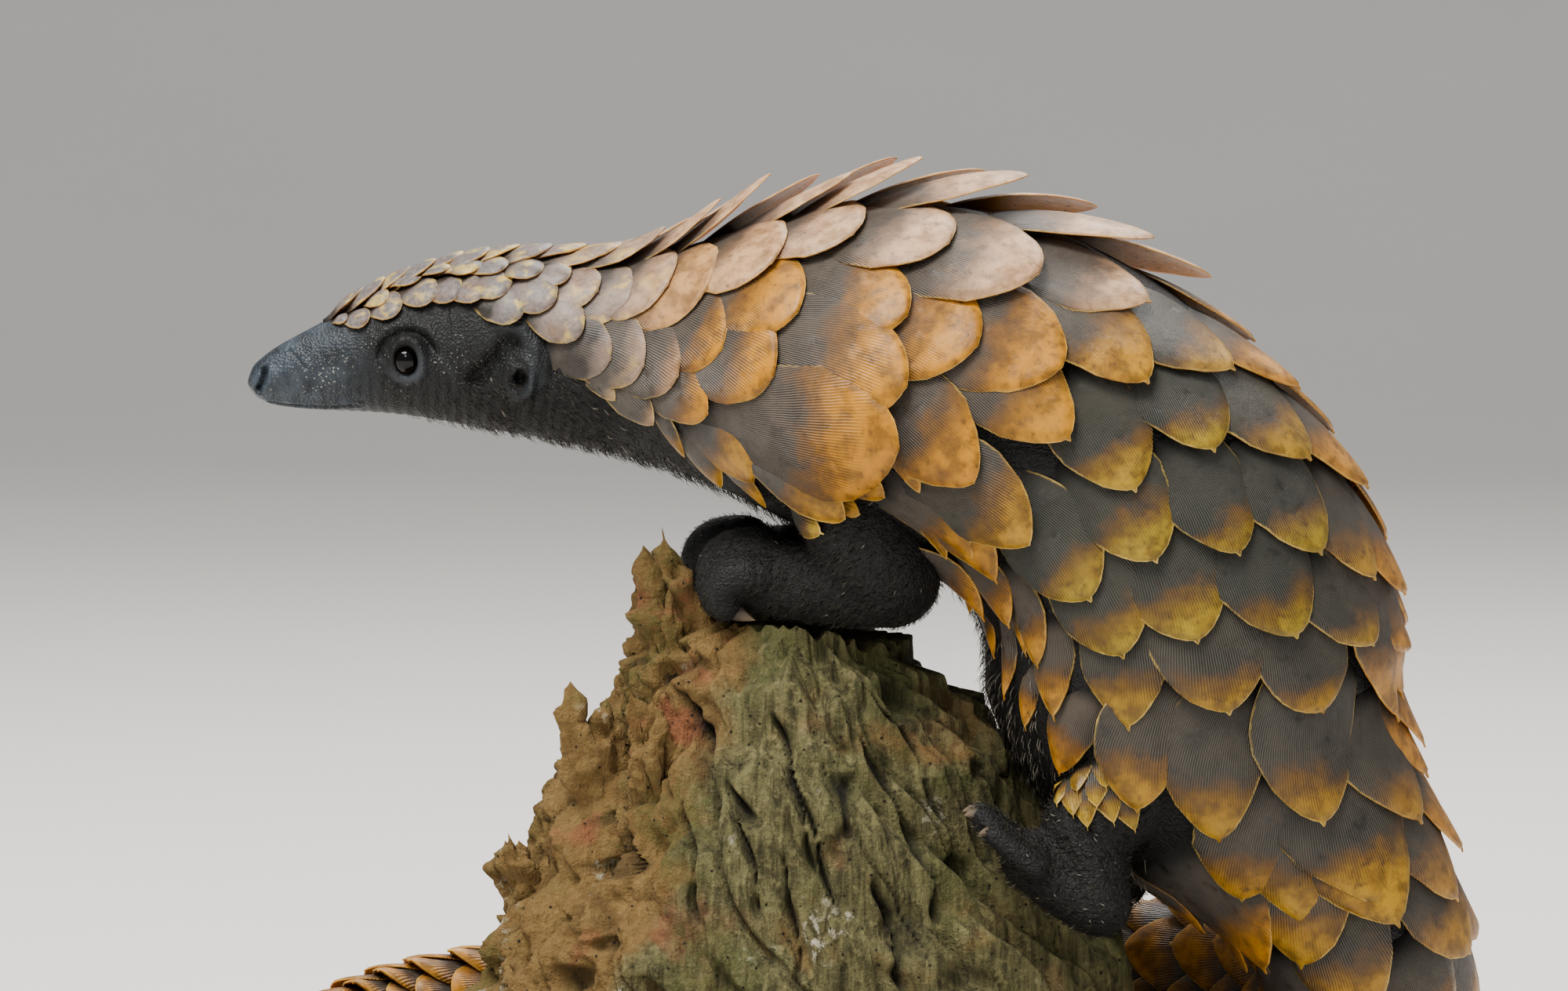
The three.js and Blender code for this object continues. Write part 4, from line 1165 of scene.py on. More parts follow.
def round_tube(rows, columns=20, step=1.6):
    """A closed tube with round ends through rows of place and radius."""
    tube = thin_tube(rows)
    inner = np.linspace(0, tube.length, max(3, int(tube.length / step)))
    _, _, rings = tube_points(tube, inner, columns)
    caps = []
    for v, sign in ((0.0, -1), (tube.length, 1)):
        centre = tube.frame(np.array(v))[0]
        ring = rings[0] if sign < 0 else rings[-1]
        along = tube.along[0] if sign < 0 else tube.along[-1]
        radius = np.linalg.norm(ring - centre, axis=1).mean()
        turns = np.radians([25, 50, 72])
        rise = sign * along * radius
        layers = [centre + (ring - centre) * math.cos(t) + rise * math.sin(t) for t in turns]
        caps.append(layers[::-1] if sign < 0 else layers)
    rings = np.concatenate([np.array(caps[0]), rings, np.array(caps[1])])
    return closed_tube(rings)


def closed_tube(rings):
    """Points and faces of a tube through rings of points, closed at both ends."""
    count, columns = rings.shape[:2]
    n = count * columns
    ends = [rings[0].mean(0), rings[-1].mean(0)]
    tris = np.concatenate([fan(0, columns, n, flip=True), fan(n - columns, columns, n + 1)])
    return np.concatenate([rings.reshape(-1, 3), ends]), grid_faces(count, columns, True), tris


def join_shapes(shapes):
    """One list of points, quads and triangles from several."""
    points, quads, tris, base = [], [], [], 0
    for p, q, t in shapes:
        points.append(p)
        quads.append(q + base)
        tris.append(t + base)
        base += len(p)
    return np.concatenate(points), np.concatenate(quads), np.concatenate(tris)


def shape_object(name, shape, material):
    """An object from a closed shape of points, quads and triangles."""
    points, quads, tris = shape
    mesh = bpy.data.meshes.new(name)
    mesh.from_pydata((points * MM).tolist(), [], quads.tolist() + tris.tolist())
    return add_object(name, mesh, material)


def bake_modifiers(obj):
    """Applies an object's modifiers to its mesh."""
    graph = bpy.context.evaluated_depsgraph_get()
    mesh = bpy.data.meshes.new_from_object(obj.evaluated_get(graph))
    obj.modifiers.clear()
    obj.data = mesh


def fused(name, shape, voxel, rounds):
    """Overlapping shapes melted into one smooth closed skin."""
    obj = shape_object(name, shape, MATERIALS["skin"])
    remesh = obj.modifiers.new("remesh", "REMESH")
    remesh.mode, remesh.voxel_size, remesh.use_smooth_shade = "VOXEL", voxel * MM, True
    soften = obj.modifiers.new("soften", "SMOOTH")
    soften.factor, soften.iterations = 0.5, rounds
    bake_modifiers(obj)
    return obj


# Legs as rows of place and radius; y is measured outwards from the middle plane.
LEGS = {
    "foreleg": dict(
        shift=(-6, 4, 1),
        tubes=[
            [(-10, 24, 206, 11), (-4, 28, 195, 13), (3, 30, 184, 13.5), (8, 28, 175, 13)],
            [
                (9, 27, 174, 12.6), (2, 26, 173, 11.6), (-10, 22, 172.5, 10.4), (-22, 18, 173, 9.6),
                (-28, 16, 174, 9),
            ],
        ],
        digits=[
            [(-24, 24, 174, 6), (-30.5, 25, 175, 5.8), (-34.5, 24.8, 171.5, 5.2), (-33, 24.2, 166.5, 4)],
            [(-24, 18.5, 177, 7), (-31.5, 18.8, 178, 6.3), (-37, 18.8, 173.5, 5.6), (-35.4, 18.8, 167, 4.2)],
            [
                (-25, 12.5, 179, 7), (-32.5, 12.4, 179.8, 6.2), (-37.6, 12.6, 175, 5.6),
                (-36, 12.8, 167.5, 4.2),
            ],
            [(-25, 7.5, 176, 5.4), (-31.5, 6.8, 176.8, 5), (-35.5, 7, 172.5, 4.5), (-34.5, 7.4, 166.5, 3.4)],
        ],
        claw=(5.5, 0.0, -4.5), claw_size=8.0, claw_bend=(2.4, 0, 0.6),
    ),
    "hindleg": dict(
        shift=(2, 0, -3),
        tubes=[
            [(84, 27, 133, 15), (75, 32, 127, 15), (65, 36.5, 119, 13), (58, 39, 111, 11)],
            [(58, 39, 112, 11), (60, 41, 102, 9.8), (61.5, 42.3, 95, 8.8)],
            [(62, 42.5, 94, 8.6), (54, 43, 98, 8.2), (45, 43, 105, 7.8)],
        ],
        digits=[
            [(46, 36.5, 105, 4), (39, 35.5, 110, 3.6), (34.5, 35, 113.5, 3.1)],
            [(44, 41, 106.5, 4.3), (36.5, 41, 112.5, 3.8), (32.5, 41, 116, 3.3)],
            [(44.5, 46, 106.5, 4.3), (37, 46.5, 112, 3.8), (33.2, 46.6, 115.5, 3.3)],
            [(46.5, 50.5, 104, 3.9), (40, 51.5, 109, 3.4), (36.4, 52, 112, 2.9)],
        ],
        claw=(-3.5, 0.6, 3.2), claw_size=4.6, claw_bend=(-1.4, 0, -2.2),
    ),
}
SIDES = {"left": 1, "right": -1}


def on_side(rows, side, shift):
    """Rows of a leg on one side; the far side's legs are shifted a little from the mirror image."""
    dx, dy, dz = (0, 0, 0) if side > 0 else shift
    return [(x + dx, -side * (y + dy), z + dz, *rest) for x, y, z, *rest in rows]


def leg_shape(kind, side):
    """A leg with its digits, as overlapping closed tubes."""
    leg = LEGS[kind]
    tubes = [round_tube(on_side(rows, side, leg["shift"]), 28) for rows in leg["tubes"]]
    digits = [round_tube(on_side(rows, side, leg["shift"]), 14, 1.0) for rows in leg["digits"]]
    return join_shapes(tubes + digits)


def face_marks(points):
    """Where the lids and the ear's rims are paler, with a painted highlight along the ridge above the ear;
    painted shade in the hollows of the eyes, ears, folds, nostrils and mouth; and where flakes gather.
    """
    pale, hollow_shade, scurf = (np.zeros(len(points)) for _ in range(3))
    for side in (1, -1):
        eye, ear = BODY.skin(EYE_V, side * EYE_PHI), BODY.skin(EAR_V, side * EAR_PHI)
        d = gap_to(points, eye)
        pale += (0.3 + 0.5 * towards(points, eye, (0.7, 0, -0.7))) * hump(d, 1.5, 4.8)
        # Painted shade in the socket and in the crease over the lids.
        hollow_shade += 1 - smooth(d, 2.6, 3.2)
        hollow_shade += 0.9 * hump(d, 0.9, 7.2) * smooth(towards(points, eye, (0, 0, 1)), -0.2, 0.5)
        d = gap_to(points, ear)
        pale += (0.15 + 0.35 * towards(points, ear, (0.8, 0, -0.5))) * hump(d, 1.5, 5.0)
        # Painted shade in the ear's hollow and round its rim.
        hollow_shade += 0.8 * (1 - smooth(d, 0.8, 2.0)) + 0.3 * hump(d, 0.5, 3.4)
        # Painted highlight along the ridge above the ear.
        pale += 0.3 * hump(gap_to_line(points, side_line(RIDGE, side)), 1.6)
        pale += 0.5 * hump(gap_to_line(points, side_line(LID_FOLD, side)), 0.9)
        # Painted shade in the fold before the ear, the nostril and the mouth.
        hollow_shade += 0.95 * hump(gap_to_line(points, side_line(FOLD, side)), 2.3)
        hollow_shade += 1.8 * hump(gap_to_line(points, side_line(NOSTRIL, side)), 0.6)
        hollow_shade += 0.7 * hump(gap_to_line(points, side_line(MOUTH, side)), 0.5)
        for line, width in SCURF:
            scurf += hump(gap_to_line(points, side_line(line, side)), width)
    hollow_shade = np.clip(hollow_shade, 0, 1)
    return np.clip(pale * (1 - hollow_shade), 0, 1), hollow_shade, np.clip(scurf, 0, 1)


def make_skin():
    """One skin for the whole animal, with the legs grown into the trunk."""
    skin = shape_object("skin", body_skin(), MATERIALS["skin"])
    for kind in LEGS:
        for word, side in SIDES.items():
            leg = fused(f"leg_{kind}_{word}", leg_shape(kind, side), 0.9, 8)
            join = skin.modifiers.new("join", "BOOLEAN")
            join.operation, join.solver, join.object = "UNION", "MANIFOLD", leg
            bake_modifiers(skin)
            bpy.data.objects.remove(leg)
    mesh = skin.data
    points, _ = mesh_tables(skin)
    v, phi = BODY.nearest(points)
    reach = np.linalg.norm(points - BODY.skin(v, phi), axis=1)
    furred = np.maximum(smooth(np.abs(phi), 100, 150) * smooth(v, 26, 70), smooth(v, 74, 92))
    furred = np.maximum(furred, smooth(reach, 4, 9) * smooth(v, 80, 100))
    pale, hollow_shade, scurf = face_marks(points)
    marks = np.stack([furred, 1 - smooth(v, 12, 38), pale], -1)
    add_values(mesh, "marks", marks)
    add_values(mesh, "hollow_shade", hollow_shade)
    add_values(mesh, "scurf", scurf)
    mesh.shade_smooth()
    nodes = ["head", "neck", "torso_front", "torso_middle", "torso_rear"]
    nodes += [f"tail_{i}" for i in range(1, 9)]
    for word in SIDES:
        nodes += [f"ear_{word}"] + [f"{kind}_{word}_{part}" for kind in LEGS for part in ("upper", "lower")]
    place_piece(skin, "skin", *nodes)
    return skin


def mesh_tables(obj):
    """Vertices in millimetres and triangles of an object's mesh."""
    mesh = obj.data
    mesh.calc_loop_triangles()
    points = np.empty(len(mesh.vertices) * 3, np.float32)
    mesh.vertices.foreach_get("co", points)
    tris = np.empty(len(mesh.loop_triangles) * 3, np.int32)
    mesh.loop_triangles.foreach_get("vertices", tris)
    return points.reshape(-1, 3).astype(float) / MM, tris.reshape(-1, 3)


def flesh_tree(obj):
    """The object's triangles, ready for rays."""
    points, tris = mesh_tables(obj)
    return BVHTree.FromPolygons(points.tolist(), tris.tolist())


# Hair

def sow(points, tris, wanted, seed):
    """Places spread over the triangles: about wanted(places) hairs for each square millimetre."""
    draw = np.random.default_rng(seed)
    a, b, c = points[tris[:, 0]], points[tris[:, 1]], points[tris[:, 2]]
    cross = np.cross(b - a, c - a)
    area = np.linalg.norm(cross, axis=1) / 2
    density = wanted((a + b + c) / 3)
    count = draw.poisson(area * density)
    i = np.repeat(np.arange(len(tris)), count)
    r, q = np.sqrt(draw.random(len(i))), draw.random(len(i))
    places = a[i] * (1 - r)[:, None] + b[i] * (r * (1 - q))[:, None] + c[i] * (r * q)[:, None]
    return places, unit(cross[i]), draw


def blades(places, normals, lean, length, width, draw):
    """Three-sided tapering tufts that bend from the normal towards their lie."""
    n = len(places)
    lean = unit(lean - (lean * normals).sum(-1, keepdims=True) * normals + draw.normal(0, 0.25, (n, 3)))
    side = unit(np.cross(normals, lean))
    rise = draw.uniform(0.25, 0.6, n)[:, None]
    first = unit(normals * (rise + 0.25) + lean)
    then = unit(normals * rise * 0.4 + lean + draw.normal(0, 0.12, (n, 3)))
    length = (length * draw.uniform(0.65, 1.25, n))[:, None]
    middle = places + first * length * 0.5
    tip = middle + then * length * 0.5
    root = places - normals * 0.3
    rings = []
    for centre, size in ((root, 1.0), (middle, 0.7)):
        for turn in (0, 120, 240):
            c, q = math.cos(math.radians(turn)), math.sin(math.radians(turn))
            rings.append(centre + (side * c + np.cross(lean, side) * q * 0.6) * width * size)
    return np.stack(rings + [tip], 1)


# One tuft: the faces between its root ring, middle ring and tip, and the spread of its points in the
# bake's map
HAIR_FACES = np.array([
    [0, 1, 4], [0, 4, 3], [1, 2, 5], [1, 5, 4], [2, 0, 3], [2, 3, 5], [3, 4, 6], [4, 5, 6], [5, 3, 6]])
HAIR_PATCH = np.array([[-1, -1], [1, -1], [0, -1], [-0.7, 0], [0.7, 0], [0, 0], [0, 1]]) * 0.0015


def hair_object(name, shape, tone, patch):
    """A piece of solid tufts, each with its own patch of the bake's map."""
    count, corners = shape.shape[:2]
    faces = (HAIR_FACES[None] + corners * np.arange(count)[:, None, None]).reshape(-1, 3)
    patches = (patch[:, None] + HAIR_PATCH[None]).reshape(-1, 2)
    obj = make_mesh(name, shape, faces, MATERIALS["hair"], {"tone": np.repeat(tone, corners)}, patches)
    place_piece(obj, "fur")


def hair_tones(draw, count, light, palest):
    """Mostly black hairs, with a share of paler ones."""
    pale = draw.random(count) < light
    return np.where(pale, draw.uniform(0.4, palest, count), draw.uniform(0, 0.15, count))


def body_patch(v, phi):
    """A place of the trunk's own unwrap, in the lower left of the bake's map."""
    return np.stack([0.01 + 0.6 * v / BODY.length, 0.5 + phi / 380], -1)


def make_body_hair(skin_tables):
    """Short black hair under the chin, throat and belly and low on the flanks."""
    points, tris = skin_tables

    def wanted(places):
        v, phi = BODY.nearest(places)
        a = np.abs(phi)
        reach = np.linalg.norm(places - BODY.skin(v, phi), axis=1)
        under = smooth(a, 128, 158) * smooth(v, 28, 60) * (1 - smooth(v, 318, 330))
        cheek = 0.35 * smooth(a, 92, 120) * smooth(v, 44, 60) * (1 - smooth(v, 92, 104))
        return np.where(reach < 3, np.maximum(0.62 * under, cheek) * (1 - 0.45 * smooth(v, 110, 130)), 0)

    places, normals, draw = sow(points, tris, wanted, 21)
    v, phi = BODY.nearest(places)
    back = BODY.frame(v)[2]
    lean = back + 0.5 * normals + np.array([0, 0, -0.3])
    length = np.interp(v, [28, 50, 70, 95, 120, 330], [1.4, 2.4, 3.0, 3.6, 4.0, 4.2])
    light = np.interp(v, [60, 110, 200, 300], [0.015, 0.03, 0.25, 0.4])
    tone = hair_tones(draw, len(places), light, 1.0)
    shape = blades(places, normals, lean, length, 0.16, draw)
    hair_object("hair_body", shape, tone, body_patch(v, phi))


def make_limb_hair(skin_tables):
    """Dense short hair down the legs to the toes."""
    points, tris = skin_tables
    centres = {}
    for kind, leg in LEGS.items():
        for word, side in SIDES.items():
            rows = sum(leg["tubes"] + leg["digits"][1:3], [])
            centres[kind, word] = np.array(on_side(rows, side, leg["shift"]))

    def near(places):
        gaps = np.stack([
            (np.linalg.norm(places[:, None] - rows[None, :, :3], axis=-1) - rows[None, :, 3]).min(1)
            for rows in centres.values()])
        return gaps.argmin(0), gaps.min(0)

    def wanted(places):
        v, phi = BODY.nearest(places)
        reach = np.linalg.norm(places - BODY.skin(v, phi), axis=1)
        _, gap = near(places)
        return np.where((reach > 2.5) & (gap < 4) & (v > 90), 0.85, 0.0)

    places, normals, draw = sow(points, tris, wanted, 23)
    limb, _ = near(places)
    fore = limb < 2
    lean = np.where(fore[:, None], [[-0.8, 0, -0.7]], [[-0.5, 0, 0.2]]) + 0.2 * normals
    length = 1.9 * (1 - 0.35 * smooth(-places[:, 0], 24, 36))
    tone = hair_tones(draw, len(places), np.where(fore, 0.004, 0.03), 0.9)
    shape = blades(places, normals, lean, length, 0.17, draw)
    hub = np.array([rows[:, :3].mean(0) for rows in centres.values()])[limb]
    turn = np.arctan2(places[:, 1] - hub[:, 1], places[:, 0] - hub[:, 0]) / TAU + 0.5
    level = np.clip((places[:, 2] - hub[:, 2]) / 90 + 0.5, 0.02, 0.98)
    patch = np.stack([0.64 + 0.34 * turn, (limb + level) / 4], -1)
    hair_object("hair_limbs", shape, tone, patch)


def make_limb_scales():
    """The small scales of the legs; those of the far side mirror the near side's."""
    seed = 20
    for kind in LEGS:
        near = limb_rows(limb_tube(kind, SIDES["left"]), kind)
        for word, side in SIDES.items():
            rows = [dict(row, phi=side * row["phi"]) for row in near]
            make_scales(f"scales_{kind}_{word}", limb_tube(kind, side), rows, (10, 9), seed)
            seed += 1


def make_coat(skin):
    """All scales and hair. The larger the scales, the finer their grids."""
    flesh = flesh_tree(skin)
    make_scales("scales_head", BODY, head_rows(), (10, 9), 1)
    make_scales("scales_shoulder", BODY, shoulder_rows(), (17, 17), 2, flesh)
    make_scales("scales_back", BODY, back_rows(), (14, 13), 3)
    make_scales("scales_trunk", BODY, trunk_rows(), (14, 13), 4, flesh)
    make_limb_scales()
    for number, (low, high) in enumerate([(0, 480), (480, 680), (680, 2000)], 1):
        make_scales(f"scales_tail_{number}", BODY, tail_rows(low, high), (9, 7), 10 + number)
    make_body_hair(mesh_tables(skin))
    make_limb_hair(mesh_tables(skin))


EYE_RINGS, EYE_TURNS = 33, 48


def make_eyes():
    """Eyeballs with a raised cornea, turned outwards from the sockets."""
    turns = np.linspace(0, math.pi, EYE_RINGS)
    laps = np.linspace(0, TAU, EYE_TURNS, endpoint=False)
    turn, lap = np.meshgrid(turns, laps, indexing="ij")
    for word, side in SIDES.items():
        centre = BODY.skin(EYE_V, side * EYE_PHI, -EYE_DEPTH)
        axis = BODY.outward(EYE_V, side * EYE_PHI)
        up = unit(np.array([0, 0, 1.0]) - axis[2] * axis)
        across = np.cross(up, axis)
        radius = EYE_R * (1 + 0.05 * hump(turn, 0.75))
        out = np.cos(turn)[..., None] * axis + np.sin(turn)[..., None] * (
            np.cos(lap)[..., None] * across + np.sin(lap)[..., None] * up)
        points = centre + out * radius[..., None]
        faces = grid_faces(EYE_RINGS, EYE_TURNS, True)
        off_axis = (turn / (math.pi / 2)).ravel()
        obj = make_mesh(f"eyeball_{word}", points, faces, MATERIALS["eye"], {"off_axis": off_axis})
        place_piece(obj, "eye", f"eye_{word}")


CLAW_ROWS, CLAW_TURNS = 16, 12


def claw_shape(root, aim, size, bend, radius):
    """A curved tapering claw with a ridged back: points by place along it and turn round it."""
    laps = np.linspace(0, TAU, CLAW_TURNS, endpoint=False)
    t, lap = np.meshgrid(np.linspace(0, 1, CLAW_ROWS), laps, indexing="ij")
    aim, bend = unit(np.array(aim, float)), np.array(bend, float)
    line = np.array(root) + t[..., None] * aim * size + (t**2)[..., None] * bend
    axis = unit(aim * size + 2 * t[..., None] * bend)
    across = unit(np.cross(axis, np.array([0, 0, 1.0]) + 0.01))
    lift = np.cross(across, axis)
    r = radius * (1 - t**1.7) * (1 + 0.1 * np.cos(lap) ** 3) + 0.08
    points = line + r[..., None] * (np.sin(lap)[..., None] * across * 0.8 + np.cos(lap)[..., None] * lift)
    return points, np.stack([t, lap / TAU, t], -1)


def make_claws():
    """A claw on each digit, one piece for each foot."""
    for kind, leg in LEGS.items():
        for word, side in SIDES.items():
            points, place = [], []
            for i, digit in enumerate(leg["digits"]):
                x, y, z, r = on_side(digit, side, leg["shift"])[-1]
                aim = np.array(leg["claw"]) * [1, -side, 1]
                size = leg["claw_size"] * (1.0 if i in (1, 2) else 0.8)
                bend = np.array(leg["claw_bend"]) * [1, -side, 1]
                a, b = claw_shape((x, y, z), aim, size, bend, r * 0.72)
                points.append(a)
                place.append(b)
            one = grid_faces(CLAW_ROWS, CLAW_TURNS, True)
            faces = np.concatenate([one + k * CLAW_ROWS * CLAW_TURNS for k in range(len(points))])
            values = {"place": np.array(place).reshape(-1, 3)}
            obj = make_mesh(f"claws_{kind}_{word}", points, faces, MATERIALS["claw"], values)
            place_piece(obj, "scale")


# Stump and stand

STUMP_AXIS = np.array([-14.0, 2.0])
STUMP_PIXEL = (1100, 1597)  # where the photograph's rows and columns meet X 0 and Z 0
SLANT = 0.0058  # how far the grain turns round the stump for each millimetre up
STUMP_FOOT = 26.0
STUMP_TOP = 162.0
STUMP_COLUMNS, STUMP_ROWS = 560, 250
# Broken slabs from the outside in: half widths at foot and top, height of the edge and how much it varies
STUMP_SLABS = [
    (97, 71, 92, 67, 60, 13), (88, 65, 80, 59, 88, 14), (77, 57, 68, 51, 114, 13), (66, 50, 55, 43, 134, 10),
    (55, 43, 47, 38, 151, 6), (46, 37, 38, 32, 159, 5),
]
# Torn fibres: foot, tip and radius
SPLINTERS = [
    ((-44, -8, 128), (-55, -11, 186), 15), ((-49, 8, 126), (-57, 10, 180), 13),
    ((-57, -14, 100), (-67, -17, 148), 13), ((-80, -4, 66), (-92, -6, 106), 13),
    ((-44, 24, 124), (-49, 31, 164), 10), ((-64, 12, 92), (-73, 16, 132), 12),
    ((-50, -24, 108), (-54, -30, 146), 11),
]
# The near side's cracks and holes: a width in millimetres, then pixels from the top down
STUMP_LINES = [
    (1.3, (1108, 915), (1140, 980), (1175, 1045), (1205, 1105), (1213, 1160)),
    (1.0, (995, 885), (1030, 970), (1062, 1060), (1082, 1140)),
    (3.4, (1078, 962), (1092, 1005), (1108, 1056)),
    (1.6, (868, 856), (905, 925), (930, 970)),
    (1.0, (950, 1006), (975, 1080), (987, 1150)),
    (0.9, (884, 996), (900, 1070), (904, 1160)),
    (1.2, (1020, 950), (1042, 1030), (1060, 1100)),
    (2.8, (940, 975), (962, 1010), (978, 1040)),
    (2.4, (846, 955), (860, 990), (872, 1010)),
    (1.0, (1185, 960), (1215, 1030), (1240, 1090)),
    (0.9, (800, 960), (812, 1040), (818, 1120)),
    (1.1, (1120, 850), (1160, 900), (1190, 960)),
    (1.0, (1010, 1060), (1030, 1150), (1040, 1230)),
    (1.2, (1130, 1090), (1160, 1170), (1180, 1240)),
]


def ripple(angle, seed, count):
    """A closed wavy line round the stump, about one high, from a few seeded waves."""
    draw = np.random.default_rng(seed)
    total = np.zeros_like(angle)
    for k in range(1, count + 1):
        wave = draw.integers(2 * k, 6 * k + 1)
        total += draw.normal() / k**0.7 * np.sin(wave * angle + draw.uniform(0, TAU))
    return total / 1.8


def stump_cracks(angle, z):
    """Long leaning cracks, deepest in their middles."""
    crack = np.zeros_like(z)
    draw = np.random.default_rng(3)
    for i in range(54):
        at, low = draw.uniform(0, TAU), draw.uniform(15, 105)
        high = low + draw.uniform(30, 85)
        slant = draw.normal(-SLANT, 0.0012)
        bend = 0.03 * np.sin(z * 0.05 + at * 7) + 0.012 * np.sin(z * 0.31 + at * 3)
        off = (angle - at - slant * (z - low) - bend + math.pi) % TAU - math.pi
        width = draw.uniform(0.5, 1.6) * (0.6 + 0.4 * np.sin(z * 0.17 + i))
        ends = smooth(z, low, low + 20) * (1 - smooth(z, high - 20, high))
        crack = np.maximum(crack, hump(off * 70, np.maximum(width, 0.3)) * ends)
    return crack


def seen_cracks(x, z, near):
    """The photograph's own long cracks and holes on the near side, as lines of pixels with widths."""
    crack = np.zeros_like(z)
    for width, *line in STUMP_LINES:
        pixels = np.array(line, float)
        lx, lz = (pixels[:, 0] - STUMP_PIXEL[0]) / PIXELS, (STUMP_PIXEL[1] - pixels[:, 1]) / PIXELS
        centre = np.interp(z, lz[::-1], lx[::-1]) + 0.5 * np.sin(z * 0.31 + lx[0])
        ends = smooth(z, lz[-1] - 1, lz[-1] + 5) * (1 - smooth(z, lz[0] - 5, lz[0] + 1))
        crack = np.maximum(crack, hump(x - centre, width * (0.6 + 0.4 * np.sin(z * 0.35 + lx[0]))) * ends)
    return crack * near


def stump_section(angle, lean, slanted, z):
    """Half widths of the stump by angle and height, from broken slabs that overlap."""
    rx = np.full_like(z, 27.0)
    ry = np.full_like(z, 28.0)
    for k, (fx, fy, tx, ty, height, spread) in enumerate(STUMP_SLABS[::-1]):
        edge = height + spread * (0.9 * ripple(lean, 40 + k, 5) + 0.5 * ripple(lean, 60 + k, 16))
        edge += 0.35 * spread * field(slanted, 5, 70 + k) - 6 * np.maximum(0, np.cos(angle))
        edge = np.minimum(edge, STUMP_TOP - 1)
        inside = smooth(edge - z, -0.2 * spread, 0.45 * spread + 2)
        share = np.clip((z - STUMP_FOOT) / (height - STUMP_FOOT), 0, 1)
        wide = 1 + 0.03 * ripple(lean, 20 + k, 6)
        rx = np.maximum(rx, (rx * (1 - inside) + (fx + (tx - fx) * share) * wide * inside))
        ry = np.maximum(ry, (ry * (1 - inside) + (fy + (ty - fy) * share) * wide * inside))
    return rx, ry


def stump_skin():
    """Points of the stump's side by height and angle, with the painted shade of its cracks, holes and seams,
    and how rotten it is.
    """
    angle = np.linspace(0, TAU, STUMP_COLUMNS, endpoint=False)
    z = np.linspace(STUMP_FOOT, STUMP_TOP, STUMP_ROWS)
    angle, z = np.meshgrid(angle, z, indexing="ij")
    lean = angle + SLANT * (z - 90)
    ring = np.stack([60 * np.cos(angle), 60 * np.sin(angle), z], -1)
    slanted = np.stack([60 * np.cos(lean), 60 * np.sin(lean), 0.3 * z], -1)
    rx, ry = stump_section(angle, lean, slanted, z)
    near = smooth(-np.sin(angle), 0.1, 0.3)
    seen = seen_cracks(STUMP_AXIS[0] + rx * np.cos(angle), z, near)
    crack = np.maximum(stump_cracks(angle, z) * (1 - 0.6 * near), seen)
    rot = smooth(-np.cos(angle - 0.25), 0.45, 0.95)
    slabs = np.abs(rough_field(slanted, 17, 31, 3))
    crumbs = rough_field(ring, 9, 35, 4)
    holes = smooth(field(ring, 13, 39), 0.55, 0.8) + rot * smooth(field(ring, 6, 41), 0.35, 0.7)
    grow = 1 - 0.09 * crack - 0.06 * (1 - smooth(slabs, 0.0, 0.16)) - 0.06 * holes
    grow += (0.011 + 0.036 * rot) * crumbs + (0.008 + 0.016 * rot) * rough_field(slanted, 2.6, 44, 3)
    drop = 5 * smooth(np.cos(angle), 0.0, 0.8) + 2.5 * np.abs(ripple(angle, 77, 9))
    z = z - drop * smooth(z, 118, STUMP_TOP)
    x = STUMP_AXIS[0] + rx * grow * np.cos(angle)
    y = STUMP_AXIS[1] + ry * grow * np.sin(angle)
    # Painted shade: darkest in the cracks, the holes and the seams between slabs.
    dark = np.clip(crack + 0.55 * holes + 0.35 * (1 - smooth(slabs, 0.0, 0.1)), 0, 1)
    wear = np.stack([dark, rot, np.zeros_like(rot)], -1)
    return np.stack([x, y, z], -1).transpose(1, 0, 2), wear.transpose(1, 0, 2)


def make_stump():
    """The side, the broken top and a flat foot, as one closed shape."""
    side, wear = stump_skin()
    columns = STUMP_COLUMNS
    axis = np.append(STUMP_AXIS, 0)
    rings = []
    for share in (0.86, 0.68, 0.5, 0.32, 0.15):
        ring = side[-1] * share + axis * (1 - share)
        ring[:, 2] += (STUMP_TOP - 3) * (1 - share) + 1.8 * (1 - share) * rough_field(ring, 8, 51, 3)
        rings.append(ring)
    flat = side.reshape(-1, 3)
    total = len(flat) + len(rings) * columns
    ends = [[*STUMP_AXIS, STUMP_TOP - 2.4], [*STUMP_AXIS, STUMP_FOOT]]
    quads = grid_faces(STUMP_ROWS + len(rings), columns, True)
    tris = np.concatenate([fan(total - columns, columns, total), fan(0, columns, total + 1, flip=True)])
    obj = shape_object("stump", (np.concatenate([flat, *rings, ends]), quads, tris), MATERIALS["wood"])
    plain = np.zeros((total + len(ends) - len(flat), 3))
    add_values(obj.data, "wear", np.concatenate([wear.reshape(-1, 3), plain]))
    place_piece(obj, "wood", "perch")


FIBRE_ROWS, FIBRE_TURNS = 40, 20


def splinter(foot, tip, size, draw):
    """One torn fibre: a crumbly tapering rod, closed at both ends."""
    laps = np.linspace(0, TAU, FIBRE_TURNS, endpoint=False)
    t, lap = np.meshgrid(np.linspace(0, 1, FIBRE_ROWS), laps, indexing="ij")
    phase = draw.uniform(0, TAU, 3)
    line = foot + t[..., None] * (tip - foot)
    line = line + 1.2 * np.sin(t * 7 + phase[0])[..., None] * np.array([1, 0.6, 0])
    blunt = smooth(1.01 - t, 0, 0.16)
    radius = size * (1 - 0.45 * t**2) * (1 + 0.25 * np.sin(2 * lap + 4 * t + phase[1])) * blunt
    points = line + radius[..., None] * np.stack([np.cos(lap), 0.6 * np.sin(lap), 0 * lap], -1)
    push = 0.6 * size * blunt * rough_field(points, 4.5, 91, 4)
    return closed_tube(points + push[..., None] * np.stack([np.cos(lap), np.sin(lap), 0.5 + 0 * lap], -1))


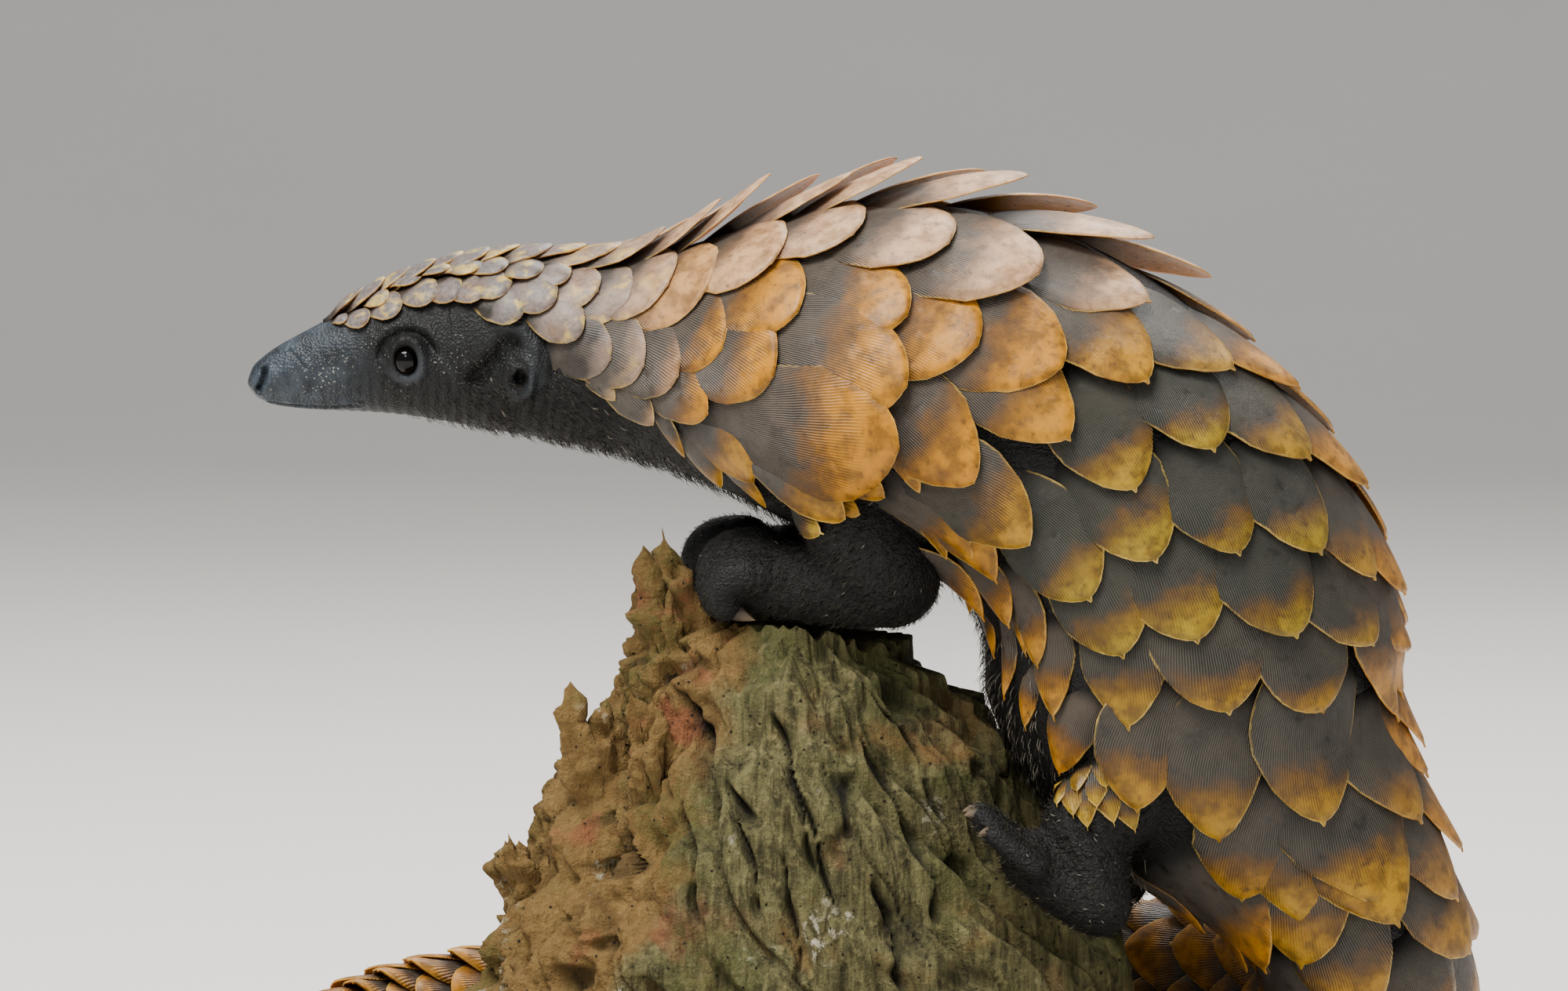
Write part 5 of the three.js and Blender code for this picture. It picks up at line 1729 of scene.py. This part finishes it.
def make_splinters():
    """Crumbling fibres standing round the break."""
    shapes = []
    for k, (foot, tip, r) in enumerate(SPLINTERS):
        draw = np.random.default_rng(90 + k)
        foot, tip = np.array(foot, float), np.array(tip, float)
        for strand in range(6):
            start = foot + draw.normal(0, r * 0.22, 3) * [1, 1, 0.3]
            reach = 1.0 if strand == 0 else draw.uniform(0.6, 0.95)
            end = start + (tip - foot) * reach
            shapes.append(splinter(start, end, r * draw.uniform(0.3, 0.46), draw))
    obj = shape_object("splinters", join_shapes(shapes), MATERIALS["wood"])
    add_values(obj.data, "wear", np.tile([0.0, 1.0, 0.0], (len(obj.data.vertices), 1)))
    place_piece(obj, "wood")


def dress_stand(frame):
    """Paint for the base and rods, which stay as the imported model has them."""
    for name in ("stand_base", "stand_rod_1", "stand_rod_2"):
        for place in frame["nodes"][name].material_slots:
            place.material = MATERIALS["stand"]


def make_stage():
    """A pale floor that curves up into a backdrop far behind."""
    profile = [(-9.0, 0.0), (3.0, 0.0)]
    profile += [(3.0 + 3 * math.sin(a), 3 - 3 * math.cos(a)) for a in np.linspace(0.1, math.pi / 2, 14)]
    profile += [(6.0, 9.0)]
    x = np.array([-12.0, 12.0])
    points = np.array([[(a, y, z) for a in x] for y, z in profile]) / MM
    floor = make_mesh("floor", points, grid_faces(len(profile), 2), MATERIALS["floor"])


def add_light(name, energy, size, place, aim, colour=(1, 1, 1)):
    """A square lamp, in metres."""
    data = bpy.data.lights.new(name, "AREA")
    data.energy, data.size, data.color = energy, size, colour
    lamp = bpy.data.objects.new(name, data)
    bpy.context.scene.collection.objects.link(lamp)
    lamp.location = place
    lamp.rotation_euler = (Vector(aim) - Vector(place)).to_track_quat("-Z", "Y").to_euler()


def make_lights():
    """Soft studio light: a large key from the upper left, a weak fill and a rim from behind."""
    world = bpy.data.worlds.new("studio")
    world.use_nodes = True
    back = world.node_tree.nodes["Background"]
    back.inputs["Color"].default_value = (0.95, 0.97, 1.0, 1.0)
    back.inputs["Strength"].default_value = 0.44
    bpy.context.scene.world = world
    add_light("key", 84, 1.0, (-0.5, -0.75, 1.9), (0, 0, 0.2), (1.0, 0.97, 0.92))
    add_light("fill", 6, 0.4, (-0.25, -1.5, 1.2), (0, 0, 0.2))
    add_light("rim", 34, 1.1, (0.3, 1.2, 1.6), (0, 0, 0.2), (1.0, 0.98, 0.95))


MATERIALS = {
    "scale": scale_material(), "skin": skin_material(), "hair": hair_material(), "eye": eye_material(),
    "claw": claw_material(), "wood": wood_material(), "stand": stand_material(), "floor": floor_material(),
}

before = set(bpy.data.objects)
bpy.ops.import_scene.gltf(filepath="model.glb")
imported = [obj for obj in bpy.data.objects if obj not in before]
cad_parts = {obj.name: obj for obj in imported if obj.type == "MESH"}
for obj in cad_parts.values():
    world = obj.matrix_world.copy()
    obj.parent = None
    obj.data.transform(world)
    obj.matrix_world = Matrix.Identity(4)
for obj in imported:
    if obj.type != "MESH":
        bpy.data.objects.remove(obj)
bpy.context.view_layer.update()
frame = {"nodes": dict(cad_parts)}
VIEW.camera()
skin = make_skin()
make_eyes()
make_claws()
make_coat(skin)
make_stump()
make_splinters()
dress_stand(frame)
make_stage()
make_lights()
